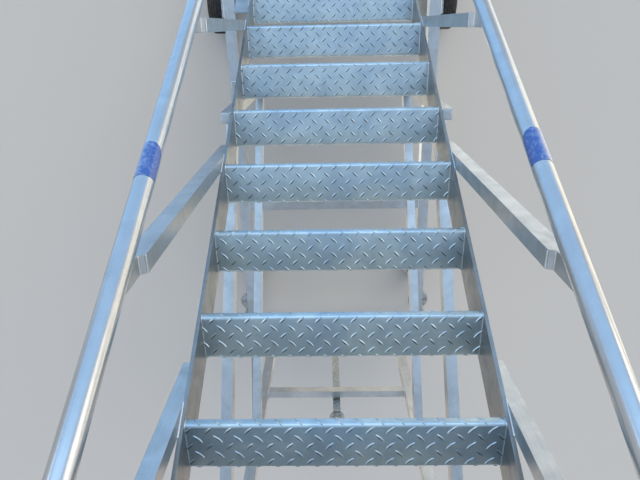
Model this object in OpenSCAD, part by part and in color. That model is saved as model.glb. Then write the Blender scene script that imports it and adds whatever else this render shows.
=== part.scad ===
// Mobile aircraft stairs: one steep flight with open folded treads, a landing with guard rails,
// a wheeled base frame with two fixed wheels, two swivel castors, four screw jacks and a tow bar.
// All lengths in mm. X across, +Y the way one climbs (aircraft side), Z up, ground at z = 0.

/* [Flight] */
// clear width between the two stringer plates
clear_w = 740; // [600:1:900]
// slope of the flight in degrees
slope = 60; // [52:0.5:64]
// rise from one tread to the next
riser = 244; // [220:1:260]
// number of treads below the landing
tread_n = 10; // [8:1:10]
// depth of one tread
tread_d = 130; // [110:1:138]
// sheet thickness of the treads
tread_t = 5; // [4:0.5:7]
// height of the folded front and rear lips
tread_lip = 20; // [16:1:30]
// outer radius of the fold at the nose
tread_r = 9; // [7:0.5:12]
// stringer plate thickness
stringer_t = 10; // [8:0.5:14]
// stringer plate width, square to the slope
stringer_d = 120; // [105:1:140]
// height of the stringer foot above ground
foot_z = 50; // [40:1:80]

/* [Handrail] */
// outside diameter of the handrail tube
rail_d = 42.4; // [38:0.1:50]
// handrail centre above the nose line, measured upright
rail_h = 887; // [850:1:950]
// handrail centre outside the post's inner face
rail_out = 25; // [22:0.5:30]
// side of the square post tube
post_w = 40; // [34:1:44]
// post front face ahead of its tread nose
post_lead = 26; // [20:1:32]
// straight post height above its tread
post_h = 770; // [740:1:780]
// post length below its tread
post_drop = 205; // [160:1:240]
// sideways step of the post head
jog_x = 13.5; // [8:0.5:16]
// upright rise of the post head's step
jog_z = 7; // [5:0.5:12]
// treads between two handrail posts
post_every = 3; // [3:1:3]
// length of handrail below the nose line's start
rail_tail = 60; // [30:1:100]

/* [Landing] */
// length of the landing deck
deck_l = 950; // [800:1:1200]
// deck sheet thickness
deck_t = 5; // [4:0.5:8]
// height of the landing's side beams
beam_h = 100; // [80:1:120]
// width of the landing's side beams
beam_w = 50; // [46:1:60]
// guard rail height over the deck
guard_h = 1100; // [1000:1:1150]
// knee rail diameter
knee_d = 33.7; // [26:0.1:38]
// toe board height
toe_h = 100; // [80:1:150]
// thickness of the rubber bumpers on the aircraft side
bumper_t = 70; // [60:1:90]
// bend radius of the handrail over the landing
bend_r = 150; // [120:1:180]
// swinging gate bar diameter
gate_d = 33.7; // [26:0.1:36]
// gate bar height over the deck
gate_h = 930; // [850:1:980]
// height of the gate bar's hinge sleeve
gate_hub = 60; // [50:1:70]
// gate hinge pin diameter
gate_pin = 16; // [12:0.5:18]

/* [Base] */
// half width to the outer face of the base rails
base_half = 580; // [560:1:620]
// width of the base rail tube
base_w = 60; // [50:1:70]
// height of the base rail tube
base_h = 80; // [70:1:90]
// underside of the base rails above ground
base_z = 260; // [256:1:280]
// leg tube side
leg_w = 50; // [46:1:50]
// brace tube side
brace_w = 40; // [30:1:44]
// height of one side truss bay
bay_h = 900; // [820:10:960]
// lower rear cross bar above the base rails
bar_low = 640; // [500:10:700]
// rise from one rear cross bar to the next
bar_step = 760; // [600:10:800]
// top of the rear side struts above the base rails
strut_rear = 980; // [860:10:1100]
// top of the front side struts above the base rails
strut_front = 700; // [600:10:760]

/* [Running gear] */
// fixed wheel diameter
wheel_d = 300; // [280:1:320]
// fixed wheel width
wheel_w = 80; // [70:1:84]
// fixed wheel axle diameter
axle_d = 30; // [24:0.5:34]
// castor wheel diameter
castor_d = 200; // [190:1:204]
// castor wheel width
castor_w = 50; // [44:1:52]
// castor trail behind its kingpin
trail = 45; // [38:1:50]
// kingpin diameter
king_d = 20; // [18:0.5:22]
// castor axle diameter
caxle_d = 16; // [14:0.5:20]
// jack spindle diameter
jack_d = 36; // [32:0.5:40]
// jack foot diameter
pad_d = 140; // [120:1:150]
// tow bar length from hinge to eye centre
tow_l = 850; // [700:1:950]
// tow bar hinge pin diameter
tow_pin = 20; // [18:0.5:24]
// bore of the tow eye
eye_d = 42; // [38:0.5:46]

/* [Hidden] */
$fn = 48;
run_gap = 0.05;
fold_step = 90 / 8;
going = riser / tan(slope);
deck_z = (tread_n + 1) * riser;
half = clear_w / 2;
str_out = half + stringer_t;
rail_x = str_out + rail_out;
rail_r = rail_d / 2;
land = (tread_n + 1) * going;
front_ext = rail_tail + rail_r * sin(slope);
rear_ext = land + deck_l + bumper_t;
y0 = -(rear_ext - front_ext) / 2;
y_land = y0 + land;
y_rear = y_land + deck_l;
guard_z = deck_z + guard_h;
top_cut = deck_z - deck_t;
str_y = stringer_d / sin(slope);
rail_in = base_half - base_w;
base_top = base_z + base_h;
beam_z = deck_z - beam_h;
beam_out = str_out + beam_w;
y_front_base = y0 + 100;
y_cross1 = y0 + going + tread_d + 4;
y_cross2 = y0 + 850;
y_cross3 = y_land + 5;
y_cross4 = y_rear - base_w;
y_wheel = y0 + 450;
y_castor = y_rear - 300;
y_jack1 = y0 + 150;
y_jack2 = y_rear - 60;
jack_x = base_half + 35;
castor_x = base_half - base_w / 2;
plate_x = base_half + 12;
hub_x = plate_x + 6;
tow_y = y_rear + 35;
tow_z = base_z + 40;
gate_z = deck_z + gate_h;
gate_x = rail_x - 45;
guard_at = [0.26, 0.6];
post_ks = [for (k = [1 : post_every : tread_n]) k];
jacks = [[-1, y_jack1], [-1, y_jack2], [1, y_jack1], [1, y_jack2]];
SX = 0;
SY = 1;

// a plate or bar drawn in the Y-Z plane and drawn out along X from x1 to x2
module side_cut(x1, x2) {
    translate([min(x1, x2), 0, 0]) rotate([90, 0, 90]) linear_extrude(height = abs(x2 - x1)) children();
}

// a box given by its two corners
module span(x1, x2, ya, yb, z1, z2) {
    translate([min(x1, x2), min(ya, yb), min(z1, z2)]) cube([abs(x2 - x1), abs(yb - ya), abs(z2 - z1)]);
}

// a rod along X
module rod_x(r, x1, x2, y, z) {
    translate([min(x1, x2), y, z]) rotate([0, 90, 0]) cylinder(r = r, h = abs(x2 - x1));
}

// a round tube between two points in a plane of constant X
module rod_yz(r, x, ya, za, yb, zb) {
    l = sqrt((yb - ya) * (yb - ya) + (zb - za) * (zb - za));
    translate([x, ya, za]) rotate([-atan2(yb - ya, zb - za), 0, 0]) cylinder(r = r, h = l);
}

// height of the nose line over a given y
function nose_z(y) = (y - y0) * tan(slope);
function ny(k) = y0 + k * going;
function nz(k) = k * riser;

module stringer(s) {
    a = y0 + foot_z / tan(slope);
    b = y0 + top_cut / tan(slope);
    side_cut(s * half, s * str_out)
        polygon([[a, foot_z], [a + str_y, foot_z], [b + str_y, top_cut], [b, top_cut]]);
}

module stringer_left() {
    color("silver") stringer(-1);
}

module stringer_right() {
    color("silver") stringer(1);
}

module stringer_feet() {
    a = y0 + foot_z / tan(slope);
    color("gray") for (s = [-1, 1]) {
        span(s * (half - 40), s * str_out, a, a + str_y, foot_z - 8, foot_z);
    }
}

module fold_section() {
    r = tread_r;
    q = tread_r - tread_t;
    d = tread_d;
    polygon(concat(
        [for (i = [0 : 8]) [r - r * cos(fold_step * i), -r + r * sin(fold_step * i)]],
        [for (i = [0 : 8]) [d - r + r * sin(fold_step * i), -r + r * cos(fold_step * i)]],
        [[d, -tread_lip], [d - tread_t, -tread_lip]],
        [for (i = [8 : -1 : 0]) [d - r + q * sin(fold_step * i), -r + q * cos(fold_step * i)]],
        [for (i = [8 : -1 : 0]) [r - q * cos(fold_step * i), -r + q * sin(fold_step * i)]],
        [[tread_t, -tread_lip], [0, -tread_lip]]));
}

module flight_treads() {
    color("lightsteelblue") for (k = [1 : tread_n]) {
        side_cut(-half, half) translate([ny(k), nz(k)]) fold_section();
    }
}

module side_bracket() {
    k = tread_n * 0.358;
    color("silver") translate([str_out, ny(k), nz(k)]) rotate([slope - 180, 0, 0]) translate([0, 0, 0])
        mirror([0, 0, 1]) translate([0, 0, -8]) cube([60, 160, 8]);
}

module post(s, k) {
    yf = ny(k) - post_lead;
    yb = yf + post_w;
    xi = str_out;
    z1 = nz(k) + post_h;
    z2 = z1 + jog_z;
    xo = min(xi + post_w + jog_x, rail_x + rail_r - 1);
    difference() {
        union() {
            span(s * xi, s * (xi + post_w), yf, yb, nz(k) - post_drop, z1);
            translate([0, yb, 0]) rotate([90, 0, 0]) linear_extrude(height = post_w)
                polygon([[s * xi, z1], [s * (xi + post_w), z1], [s * (xi + post_w), z1 + 4],
                    [s * xo, z2 + 4], [s * (xi + jog_x), z2]]);
            side_cut(s * (xi + jog_x), s * xo)
                polygon([[yf, z2], [yb, z2], [yb, nose_z(yb) + rail_h - 4], [yf, nose_z(yf) + rail_h - 4]]);
        }
        slope_rail(s, rail_r);
    }
}

// straight sloping part of the handrail
module slope_rail(s, r) {
    yb = y0 + (guard_z - rail_h) / tan(slope);
    rod_yz(r, s * rail_x, y0 - rail_tail, nose_z(y0 - rail_tail) + rail_h, yb, guard_z);
}

module posts_left() {
    color("gainsboro") for (k = post_ks) post(-1, k);
}

module posts_right() {
    color("gainsboro") for (k = post_ks) post(1, k);
}

// the tube up the flight, over the guard and down to the rear of the landing; a sleeve joins it at the upper bend
module handrail(s) {
    x = s * rail_x;
    yb = y0 + (guard_z - rail_h) / tan(slope);
    cut = bend_r * tan(slope / 2);
    yj = yb - cut * cos(slope);
    zj = guard_z - cut * sin(slope);
    ye = y_rear - beam_w / 2;
    rod_yz(rail_r, x, y0 - rail_tail, nose_z(y0 - rail_tail) + rail_h, yj, zj);
    rod_yz(rail_r + 1.5, x, yj - 8 * cos(slope), zj - 8 * sin(slope), yj + 8 * cos(slope), zj + 8 * sin(slope));
    translate([x, yb + cut, guard_z - bend_r]) rotate([90, 0, 90]) rotate([0, 0, 90])
        rotate_extrude(angle = slope) translate([bend_r, 0]) circle(r = rail_r);
    rod_yz(rail_r, x, yb + cut, guard_z, ye - bend_r, guard_z);
    rail_leg(s);
}

// last bend of the handrail and its leg down to the landing
module rail_leg(s) {
    ye = y_rear - beam_w / 2;
    translate([s * rail_x, ye - bend_r, guard_z - bend_r]) rotate([90, 0, 90])
        rotate_extrude(angle = 90) translate([bend_r, 0]) circle(r = rail_r);
    rod_yz(rail_r, s * rail_x, ye, deck_z, ye, guard_z - bend_r);
}

module handrail_left() {
    color("lightsteelblue") handrail(-1);
}

module handrail_right() {
    color("lightsteelblue") handrail(1);
}

module landing_deck() {
    r = tread_r;
    q = tread_r - deck_t;
    color("lightsteelblue") {
        side_cut(-half, half) translate([y_land, deck_z]) polygon(concat(
            [for (i = [0 : 8]) [r - r * cos(fold_step * i), -r + r * sin(fold_step * i)]],
            [[deck_l, 0], [deck_l, -deck_t]],
            [for (i = [8 : -1 : 0]) [r - q * cos(fold_step * i), -r + q * sin(fold_step * i)]],
            [[deck_t, -tread_lip], [0, -tread_lip]]));
        for (s = [-1, 1]) span(s * half, s * str_out, y_land + tread_r, y_rear, top_cut, deck_z);
    }
}

module landing_side_beams() {
    color("silver") for (s = [-1, 1]) span(s * str_out, s * beam_out, y_land - 40, y_rear, beam_z, deck_z);
}

module landing_cross_beams() {
    color("silver") {
        span(-half, half, y_land + 60, y_land + 100, beam_z, top_cut);
        span(-str_out, str_out, y_land + deck_l / 2 - 20, y_land + deck_l / 2 + 20, beam_z, top_cut);
        span(-str_out, str_out, y_rear - 50, y_rear, beam_z, top_cut);
    }
}

module guard_posts() {
    color("gainsboro") for (s = [-1, 1]) difference() {
        for (f = guard_at) span(s * (rail_x - post_w / 2), s * (rail_x + post_w / 2),
            y_land + f * deck_l, y_land + f * deck_l + post_w, deck_z, guard_z);
        rod_yz(rail_r, s * rail_x, y_land, guard_z, y_rear, guard_z);
    }
}

module knee_rails() {
    ye = y_rear - beam_w / 2;
    y1 = y_land + guard_at[0] * deck_l + post_w;
    y2 = y_land + guard_at[1] * deck_l;
    z = deck_z + guard_h / 2;
    color("silver") for (s = [-1, 1]) {
        rod_yz(knee_d / 2, s * rail_x, y1, z, y2, z);
        difference() {
            rod_yz(knee_d / 2, s * rail_x, y2 + post_w, z, ye, z);
            rod_yz(rail_r, s * rail_x, ye, z - guard_h / 8, ye, z + guard_h / 8);
        }
    }
}

// swinging bar across the way to the aircraft: two ears and a pin on the left rail, a cradle on the right rail
module gate_ears() {
    ye = y_rear - beam_w / 2;
    color("dimgray") {
        difference() {
            union() {
                for (z = [gate_z - gate_hub / 2 - 11, gate_z + gate_hub / 2 + 5])
                    span(-rail_x, -gate_x + 14, ye - 14, ye + 14, z, z + 6);
                span(rail_x, gate_x - 22, ye - 14, ye + 14, gate_z - gate_d / 2 - 11, gate_z - gate_d / 2 - 5);
                span(rail_x, gate_x - 22, ye + 22, ye + 28, gate_z - gate_d / 2 - 11, gate_z + gate_d / 2);
                span(rail_x, gate_x - 22, ye + 14, ye + 28, gate_z - gate_d / 2 - 11, gate_z - gate_d / 2 - 5);
            }
            for (s = [-1, 1]) rail_leg(s);
        }
        translate([-gate_x, ye, gate_z - gate_hub / 2 - 11]) cylinder(r = gate_pin / 2, h = gate_hub + 22);
    }
}

module gate_bar() {
    ye = y_rear - beam_w / 2;
    color("silver") difference() {
        union() {
            rod_x(gate_d / 2, -gate_x, gate_x - 5, ye, gate_z);
            translate([-gate_x, ye, gate_z - gate_hub / 2]) cylinder(r = gate_d / 2 + 1, h = gate_hub);
        }
        translate([-gate_x, ye, gate_z - gate_hub]) cylinder(r = gate_pin / 2 + run_gap, h = 2 * gate_hub);
    }
}

module toe_boards() {
    color("silver") for (s = [-1, 1]) {
        span(s * str_out, s * (str_out + 3), y_land + 5, y_rear - 5, deck_z, deck_z + toe_h);
    }
}

module landing_bumpers() {
    color("dimgray") for (s = [-1, 1]) {
        span(s * 90, s * (beam_out - 10), y_rear + 0.01, y_rear + bumper_t - 25, beam_z + 10, deck_z - 10);
        rod_x(25, s * 90, s * (beam_out - 10), y_rear + bumper_t - 25, beam_z + beam_h / 2);
    }
}

module rear_legs() {
    color("silver") for (s = [-1, 1]) {
        span(s * (beam_out - leg_w), s * beam_out, y_rear - leg_w, y_rear, base_top, beam_z);
    }
}

module flight_props() {
    z = nose_z(y_cross2 + brace_w / 2) - 40;
    color("silver") for (s = [-1, 1]) {
        span(s * str_out, s * (str_out + brace_w), y_cross2, y_cross2 + brace_w, base_top, z);
    }
}

// flat-sided bar between two points of the Y-Z plane, cut square to Z or Y by its end faces
module lean_bar(x1, x2, ya, za, yb, zb, w) {
    side_cut(x1, x2) polygon([[ya, za], [ya, za + w], [yb, zb + w], [yb, zb]]);
}

module side_diagonals() {
    xa = beam_out - leg_w;
    yl = y_rear - leg_w;
    yp = y_cross2 + brace_w;
    color("silver") for (s = [-1, 1]) {
        for (z = [base_top + brace_w * 1.5, base_top + brace_w * 1.5 + bay_h]) {
            lean_bar(s * xa, s * (xa + brace_w), yp, z, yl, z + bay_h + brace_w, brace_w * 1.4);
        }
    }
}

module rear_cross_bars() {
    xi = beam_out - leg_w;
    color("silver") for (z = [base_top + bar_low, base_top + bar_low + bar_step]) {
        span(-xi, xi, y_rear - leg_w + 5, y_rear - 5, z, z + brace_w);
    }
}

module outrigger_struts() {
    color("silver") for (s = [-1, 1]) {
        translate([0, y_rear - 5, 0]) rotate([90, 0, 0]) linear_extrude(height = brace_w)
            polygon([[s * (rail_in + 2), base_top], [s * (rail_in + 48), base_top],
                [s * beam_out, base_top + strut_rear], [s * beam_out, base_top + strut_rear - brace_w * 4]]);
        translate([0, y_cross2 + brace_w, 0]) rotate([90, 0, 0]) linear_extrude(height = brace_w)
            polygon([[s * (rail_in + 2), base_top], [s * (rail_in + 48), base_top],
                [s * (str_out + brace_w), base_top + strut_front],
                [s * (str_out + brace_w), base_top + strut_front - brace_w * 3.5]]);
    }
}

module base_rail(s) {
    span(s * rail_in, s * base_half, y_front_base, y_rear, base_z, base_top);
}

module base_rail_left() {
    color("silver") base_rail(-1);
}

module base_rail_right() {
    color("silver") base_rail(1);
}

module base_cross_tubes() {
    color("silver") {
        span(-half, half, y_cross1, y_cross1 + base_w, base_z, base_top);
        for (s = [-1, 1]) span(s * str_out, s * rail_in, y_cross1, y_cross1 + base_w, base_z, base_top);
        for (y = [y_cross2, y_cross3, y_cross4]) span(-rail_in, rail_in, y, y + base_w, base_z, base_top);
    }
}

module axle_brackets() {
    color("dimgray") for (s = [-1, 1]) {
        span(s * base_half, s * plate_x, y_wheel - 70, y_wheel + 70, base_z, base_top);
        span(s * base_half, s * plate_x, y_wheel - 40, y_wheel + 40, wheel_d / 2 - 40, base_z);
        rod_x(axle_d / 2, s * plate_x, s * (hub_x + wheel_w + 6), y_wheel, wheel_d / 2);
        rod_x(axle_d / 2 + 8, s * (hub_x + wheel_w + 6), s * (hub_x + wheel_w + 14), y_wheel, wheel_d / 2);
    }
}

module castor_plates() {
    color("dimgray") for (s = [-1, 1]) translate([s * castor_x, y_castor, 0]) {
        translate([-45, -55, base_z - 8]) cube([90, 110, 8]);
        translate([0, 0, base_z - 20]) cylinder(r = 32, h = 12);
        translate([0, 0, base_z - 48]) cylinder(r = king_d / 2, h = 28);
        translate([0, 0, base_z - 48]) cylinder(r = king_d / 2 + 5, h = 8);
    }
}

module jack_sleeves() {
    color("silver") for (j = jacks) {
        difference() {
            union() {
                translate([j[SX] * jack_x, j[SY], base_z - 10]) cylinder(r = jack_d / 2 + 10, h = 170);
                span(j[SX] * base_half, j[SX] * jack_x, j[SY] - 12, j[SY] + 12, base_z, base_top);
            }
            translate([j[SX] * jack_x, j[SY], base_z - 20]) cylinder(r = jack_d / 2 + run_gap, h = 200);
        }
    }
}

module tow_ears() {
    color("dimgray") {
        for (s = [-1, 1]) span(s * 30, s * 42, y_rear, tow_y + 20, tow_z - 30, tow_z + 30);
        rod_x(tow_pin / 2, -50, 50, tow_y, tow_z);
    }
}

module wheel_rim(s) {
    color("silver") difference() {
        union() {
            rod_x(wheel_d * 0.3, s * (hub_x + 12), s * (hub_x + wheel_w - 12), y_wheel, wheel_d / 2);
            rod_x(axle_d / 2 + 14, s * hub_x, s * (hub_x + wheel_w), y_wheel, wheel_d / 2);
        }
        rod_x(axle_d / 2 + run_gap, s * (hub_x - 5), s * (hub_x + wheel_w + 5), y_wheel, wheel_d / 2);
    }
}

module wheel_tyre(s) {
    w = wheel_w;
    r = wheel_d / 2;
    color("black") translate([s * (hub_x + w / 2), y_wheel, r]) rotate([0, 90, 0])
        rotate_extrude($fn = 64) polygon([[wheel_d * 0.3, -w / 2 + 8], [r - 14, -w / 2], [r - 3, -w / 2 + 8],
            [r, -w / 2 + 20], [r, w / 2 - 20], [r - 3, w / 2 - 8], [r - 14, w / 2], [wheel_d * 0.3, w / 2 - 8]]);
}

module wheel_rim_left() {
    wheel_rim(-1);
}

module wheel_tyre_left() {
    wheel_tyre(-1);
}

module wheel_rim_right() {
    wheel_rim(1);
}

module wheel_tyre_right() {
    wheel_tyre(1);
}

module castor_fork(s) {
    zc = castor_d / 2;
    yw = y_castor - trail;
    h1 = castor_w / 2 + 6;
    color("silver") translate([s * castor_x, 0, 0]) {
        difference() {
            translate([-h1 - 6, y_castor - 40, base_z - 35]) cube([2 * h1 + 12, 80, 10]);
            translate([0, y_castor, base_z - 60]) cylinder(r = king_d / 2 + run_gap, h = 60);
        }
        for (t = [-1, 1]) side_cut(t * h1, t * (h1 + 6))
            polygon([[y_castor - 40, base_z - 25], [y_castor + 38, base_z - 25], [y_castor + 30, base_z - 60],
                [yw + 18, zc - 16], [yw - 18, zc - 16], [yw - 22, zc + 12]]);
        rod_x(caxle_d / 2, -h1 - 12, h1 + 12, yw, zc);
        for (t = [-1, 1]) rod_x(caxle_d / 2 + 4, t * (h1 + 6), t * (h1 + 13), yw, zc);
    }
}

module castor_hub(s) {
    w = castor_w;
    color("gray") translate([s * castor_x, 0, 0]) difference() {
        union() {
            rod_x(castor_d / 2 - 28, -w / 2 + 6, w / 2 - 6, y_castor - trail, castor_d / 2);
            rod_x(caxle_d / 2 + 10, -w / 2, w / 2, y_castor - trail, castor_d / 2);
        }
        rod_x(caxle_d / 2 + run_gap, -w, w, y_castor - trail, castor_d / 2);
    }
}

module castor_tyre(s) {
    w = castor_w;
    r = castor_d / 2;
    color("black") translate([s * castor_x, y_castor - trail, r]) rotate([0, 90, 0])
        rotate_extrude($fn = 64) polygon([[r - 28, -w / 2 + 4], [r - 8, -w / 2], [r - 2, -w / 2 + 6],
            [r, -w / 2 + 14], [r, w / 2 - 14], [r - 2, w / 2 - 6], [r - 8, w / 2], [r - 28, w / 2 - 4]]);
}

module castor_fork_left() {
    castor_fork(-1);
}

module castor_fork_right() {
    castor_fork(1);
}

module castor_hub_left() {
    castor_hub(-1);
}

module castor_tyre_left() {
    castor_tyre(-1);
}

module castor_hub_right() {
    castor_hub(1);
}

module castor_tyre_right() {
    castor_tyre(1);
}

module jack(j) {
    color("gray") translate([j[SX] * jack_x, j[SY], 0]) {
        cylinder(r = pad_d / 2, h = 10);
        translate([0, 0, 10]) cylinder(r1 = 34, r2 = 26, h = 18);
        translate([0, 0, 28]) cylinder(r = jack_d / 2, h = base_z + 320 - 28);
        translate([0, 0, base_z + 300]) rod_x(9, -90, 90, 0, 0);
    }
}

module jack_front_left() {
    jack(jacks[0]);
}

module jack_rear_left() {
    jack(jacks[1]);
}

module jack_front_right() {
    jack(jacks[2]);
}

module jack_rear_right() {
    jack(jacks[3]);
}

module tow_bar() {
    yb = tow_y - 8;
    color("silver") difference() {
        union() {
            span(-20, 20, yb - 20, yb + 20, tow_z, tow_z + tow_l - 30);
            rod_x(24, -20, 20, tow_y, tow_z);
            translate([0, yb + 14, tow_z + tow_l]) rotate([90, 0, 0]) cylinder(r = eye_d / 2 + 18, h = 28);
        }
        rod_x(tow_pin / 2 + run_gap, -60, 60, tow_y, tow_z);
        translate([0, yb + 60, tow_z + tow_l]) rotate([90, 0, 0]) cylinder(r = eye_d / 2, h = 120);
    }
}

stringer_left();
stringer_right();
stringer_feet();
flight_treads();
side_bracket();
posts_left();
posts_right();
handrail_left();
handrail_right();
landing_deck();
landing_side_beams();
landing_cross_beams();
guard_posts();
knee_rails();
toe_boards();
gate_ears();
gate_bar();
landing_bumpers();
rear_legs();
flight_props();
side_diagonals();
rear_cross_bars();
outrigger_struts();
base_rail_left();
base_rail_right();
base_cross_tubes();
axle_brackets();
castor_plates();
jack_sleeves();
tow_ears();
wheel_rim_left();
wheel_tyre_left();
wheel_rim_right();
wheel_tyre_right();
castor_fork_left();
castor_fork_right();
castor_hub_left();
castor_tyre_left();
castor_hub_right();
castor_tyre_right();
jack_front_left();
jack_rear_left();
jack_front_right();
jack_rear_right();
tow_bar();
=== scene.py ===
import math

import bmesh
import bpy
from bpy.props import FloatProperty, FloatVectorProperty, IntProperty, PointerProperty
from mathutils import Matrix, Vector


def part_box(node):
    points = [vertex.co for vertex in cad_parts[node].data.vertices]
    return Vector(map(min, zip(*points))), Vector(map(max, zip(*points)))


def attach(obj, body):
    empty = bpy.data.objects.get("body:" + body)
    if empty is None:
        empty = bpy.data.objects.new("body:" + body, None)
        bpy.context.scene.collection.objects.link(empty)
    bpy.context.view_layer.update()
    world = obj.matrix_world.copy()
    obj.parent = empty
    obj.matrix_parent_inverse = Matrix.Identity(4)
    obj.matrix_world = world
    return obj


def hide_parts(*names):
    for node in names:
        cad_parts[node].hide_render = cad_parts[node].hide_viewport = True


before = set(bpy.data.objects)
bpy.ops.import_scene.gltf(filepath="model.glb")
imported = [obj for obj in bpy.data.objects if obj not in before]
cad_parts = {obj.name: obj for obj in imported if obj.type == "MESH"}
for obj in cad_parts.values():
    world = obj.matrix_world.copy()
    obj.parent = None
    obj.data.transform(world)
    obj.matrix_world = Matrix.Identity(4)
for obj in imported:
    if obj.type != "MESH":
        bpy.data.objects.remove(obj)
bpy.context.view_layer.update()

bl_info = {
    "name": "Mobile Aircraft Stairs",
    "version": (1, 0, 0),
    "blender": (4, 5, 0),
    "location": "View3D > Sidebar > Stairs",
    "description": "Dresses a set of rolling boarding stairs with tear plate, welds, tyres and fittings",
    "category": "Object",
}

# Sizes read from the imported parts, in metres
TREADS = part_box("flight_treads")
SLOPE = math.radians(60.0)
RISER = 0.244
GOING = RISER / math.tan(SLOPE)
TREAD_COUNT = 10
FIRST_NOSE_Y = TREADS[0].y
HALF_WIDTH = TREADS[1].x
TREAD_DEPTH = 0.130
LIP = 0.020
FOLD_R = 0.009
PLATE = 0.010
OUTER = HALF_WIDTH + PLATE
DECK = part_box("landing_deck")
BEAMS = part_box("landing_side_beams")
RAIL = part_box("handrail_right")
RAIL_R = 0.0212
RAIL_X = 0.405
RAIL_RISE = 0.887
POST_W = 0.040
POST_LEAD = 0.026
POST_HEIGHT = 0.770
POST_DROP = 0.205
JOG_X = 0.0135
JOG_Z = 0.007
POST_STEPS = (1, 4, 7, 10)
GUARD_FRONTS = (0.5510, 0.8740)
# Points closer than this are one point
SAME = 1e-6

# Where the photograph's camera stands and looks, solved from the corners of its treads: the angles are taken
# from the slope of the flight, and the distances in metres from the top tread's nose
CAMERA_ANGLES = (52.47, -1.667, 2.03)
CAMERA_UP_SLOPE = 0.3898
CAMERA_OFF_SLOPE = 1.2021
CAMERA_TO_RIGHT = 0.0302
CAMERA_SENSOR = 36.0
CAMERA_LENS = 29.255
FLOOR_HALF = 60.0

# Ripples of the weld beads, in metres: on treads, post heads, the gate's ears and the frame
TREAD_RIPPLE = 0.0036
HEAD_RIPPLE = 0.0044
GATE_RIPPLE = 0.0030
FRAME_RIPPLE = 0.0060

# Square tubes of the frame, in metres
LEG_W = 0.050
CROSS_W = 0.060
BAR_W = 0.040

# Directions of the flight: along the photograph's width, down the slope, and square to it
ALONG_X = Vector((-1.0, 0.0, 0.0))
DOWN_SLOPE = Vector((0.0, -math.cos(SLOPE), -math.sin(SLOPE)))
OFF_SLOPE = Vector((0.0, -math.sin(SLOPE), math.cos(SLOPE)))


def nose(step):
    """The middle of a tread's nose; tread 1 is the lowest."""
    return Vector((0.0, FIRST_NOSE_Y + (step - 1) * GOING, step * RISER))


def rail_point(side, y):
    """A point on a handrail's centre line over the flight."""
    return Vector((side * RAIL_X, y, (y - FIRST_NOSE_Y) * math.tan(SLOPE) + RISER + RAIL_RISE))


def middle(node):
    """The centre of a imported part."""
    low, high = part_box(node)
    return (low + high) / 2


def linear(hex_colour):
    """An sRGB hex colour as the linear colour that the shader takes."""
    parts = [int(hex_colour[i:i + 2], 16) / 255 for i in (1, 3, 5)]
    return tuple(c / 12.92 if c <= 0.04045 else ((c + 0.055) / 1.055) ** 2.4 for c in parts) + (1.0,)


# Materials

def add(tree, kind, links=None, **settings):
    """Adds one node, sets its properties and inputs, and links the sockets given in links."""
    made = tree.nodes.new(kind)
    for key, value in settings.items():
        if key.startswith("in_"):
            name = key[3:]
            made.inputs[int(name) if name.isdigit() else name.replace("_", " ")].default_value = value
        else:
            setattr(made, key, value)
    for name, socket in (links or {}).items():
        tree.links.new(socket, made.inputs[name])
    return made


def noise(tree, place, size, **settings):
    """A noise whose marks are about as large as the size, in metres."""
    return add(tree, "ShaderNodeTexNoise", {"Vector": place}, in_Scale=1 / size, **settings).outputs[0]


def spread(tree, value, first, last, low=0.0, high=1.0, **settings):
    """Turns a value that runs from low to high into one that runs from first to last."""
    return add(tree, "ShaderNodeMapRange", {"Value": value}, in_From_Min=low, in_From_Max=high,
               in_To_Min=first, in_To_Max=last, **settings).outputs[0]


def blend(tree, share, first, second):
    """Mixes two colours by a share; each is a hex colour, a linear colour or a socket."""
    mix = add(tree, "ShaderNodeMix", {0: share}, data_type="RGBA")
    for index, colour in ((6, first), (7, second)):
        if isinstance(colour, bpy.types.NodeSocket):
            tree.links.new(colour, mix.inputs[index])
        else:
            mix.inputs[index].default_value = linear(colour) if isinstance(colour, str) else colour
    return mix.outputs[2]


def relief(tree, height, strength, depth, edge=0.0):
    """A bump with a depth in metres, over softened edges where their radius is given."""
    links = {"Height": height}
    if edge:
        links["Normal"] = add(tree, "ShaderNodeBevel", samples=4, in_Radius=edge).outputs[0]
    return add(tree, "ShaderNodeBump", links, in_Strength=strength, in_Distance=depth).outputs[0]


def feed(shader, **sockets):
    """Links sockets to a shader's inputs."""
    for name, socket in sockets.items():
        shader.id_data.links.new(socket, shader.inputs[name.replace("_", " ")])


def own_place(tree):
    """Where a point lies in its own piece, in metres."""
    return add(tree, "ShaderNodeTexCoord").outputs["Object"]


def new_material(name, **settings):
    """An empty node material with its output and main shader."""
    made = bpy.data.materials.new(name)
    made.use_nodes = True
    tree = made.node_tree
    tree.nodes.clear()
    shader = add(tree, "ShaderNodeBsdfPrincipled", **settings)
    add(tree, "ShaderNodeOutputMaterial", {"Surface": shader.outputs[0]})
    return made, tree, shader


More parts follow.
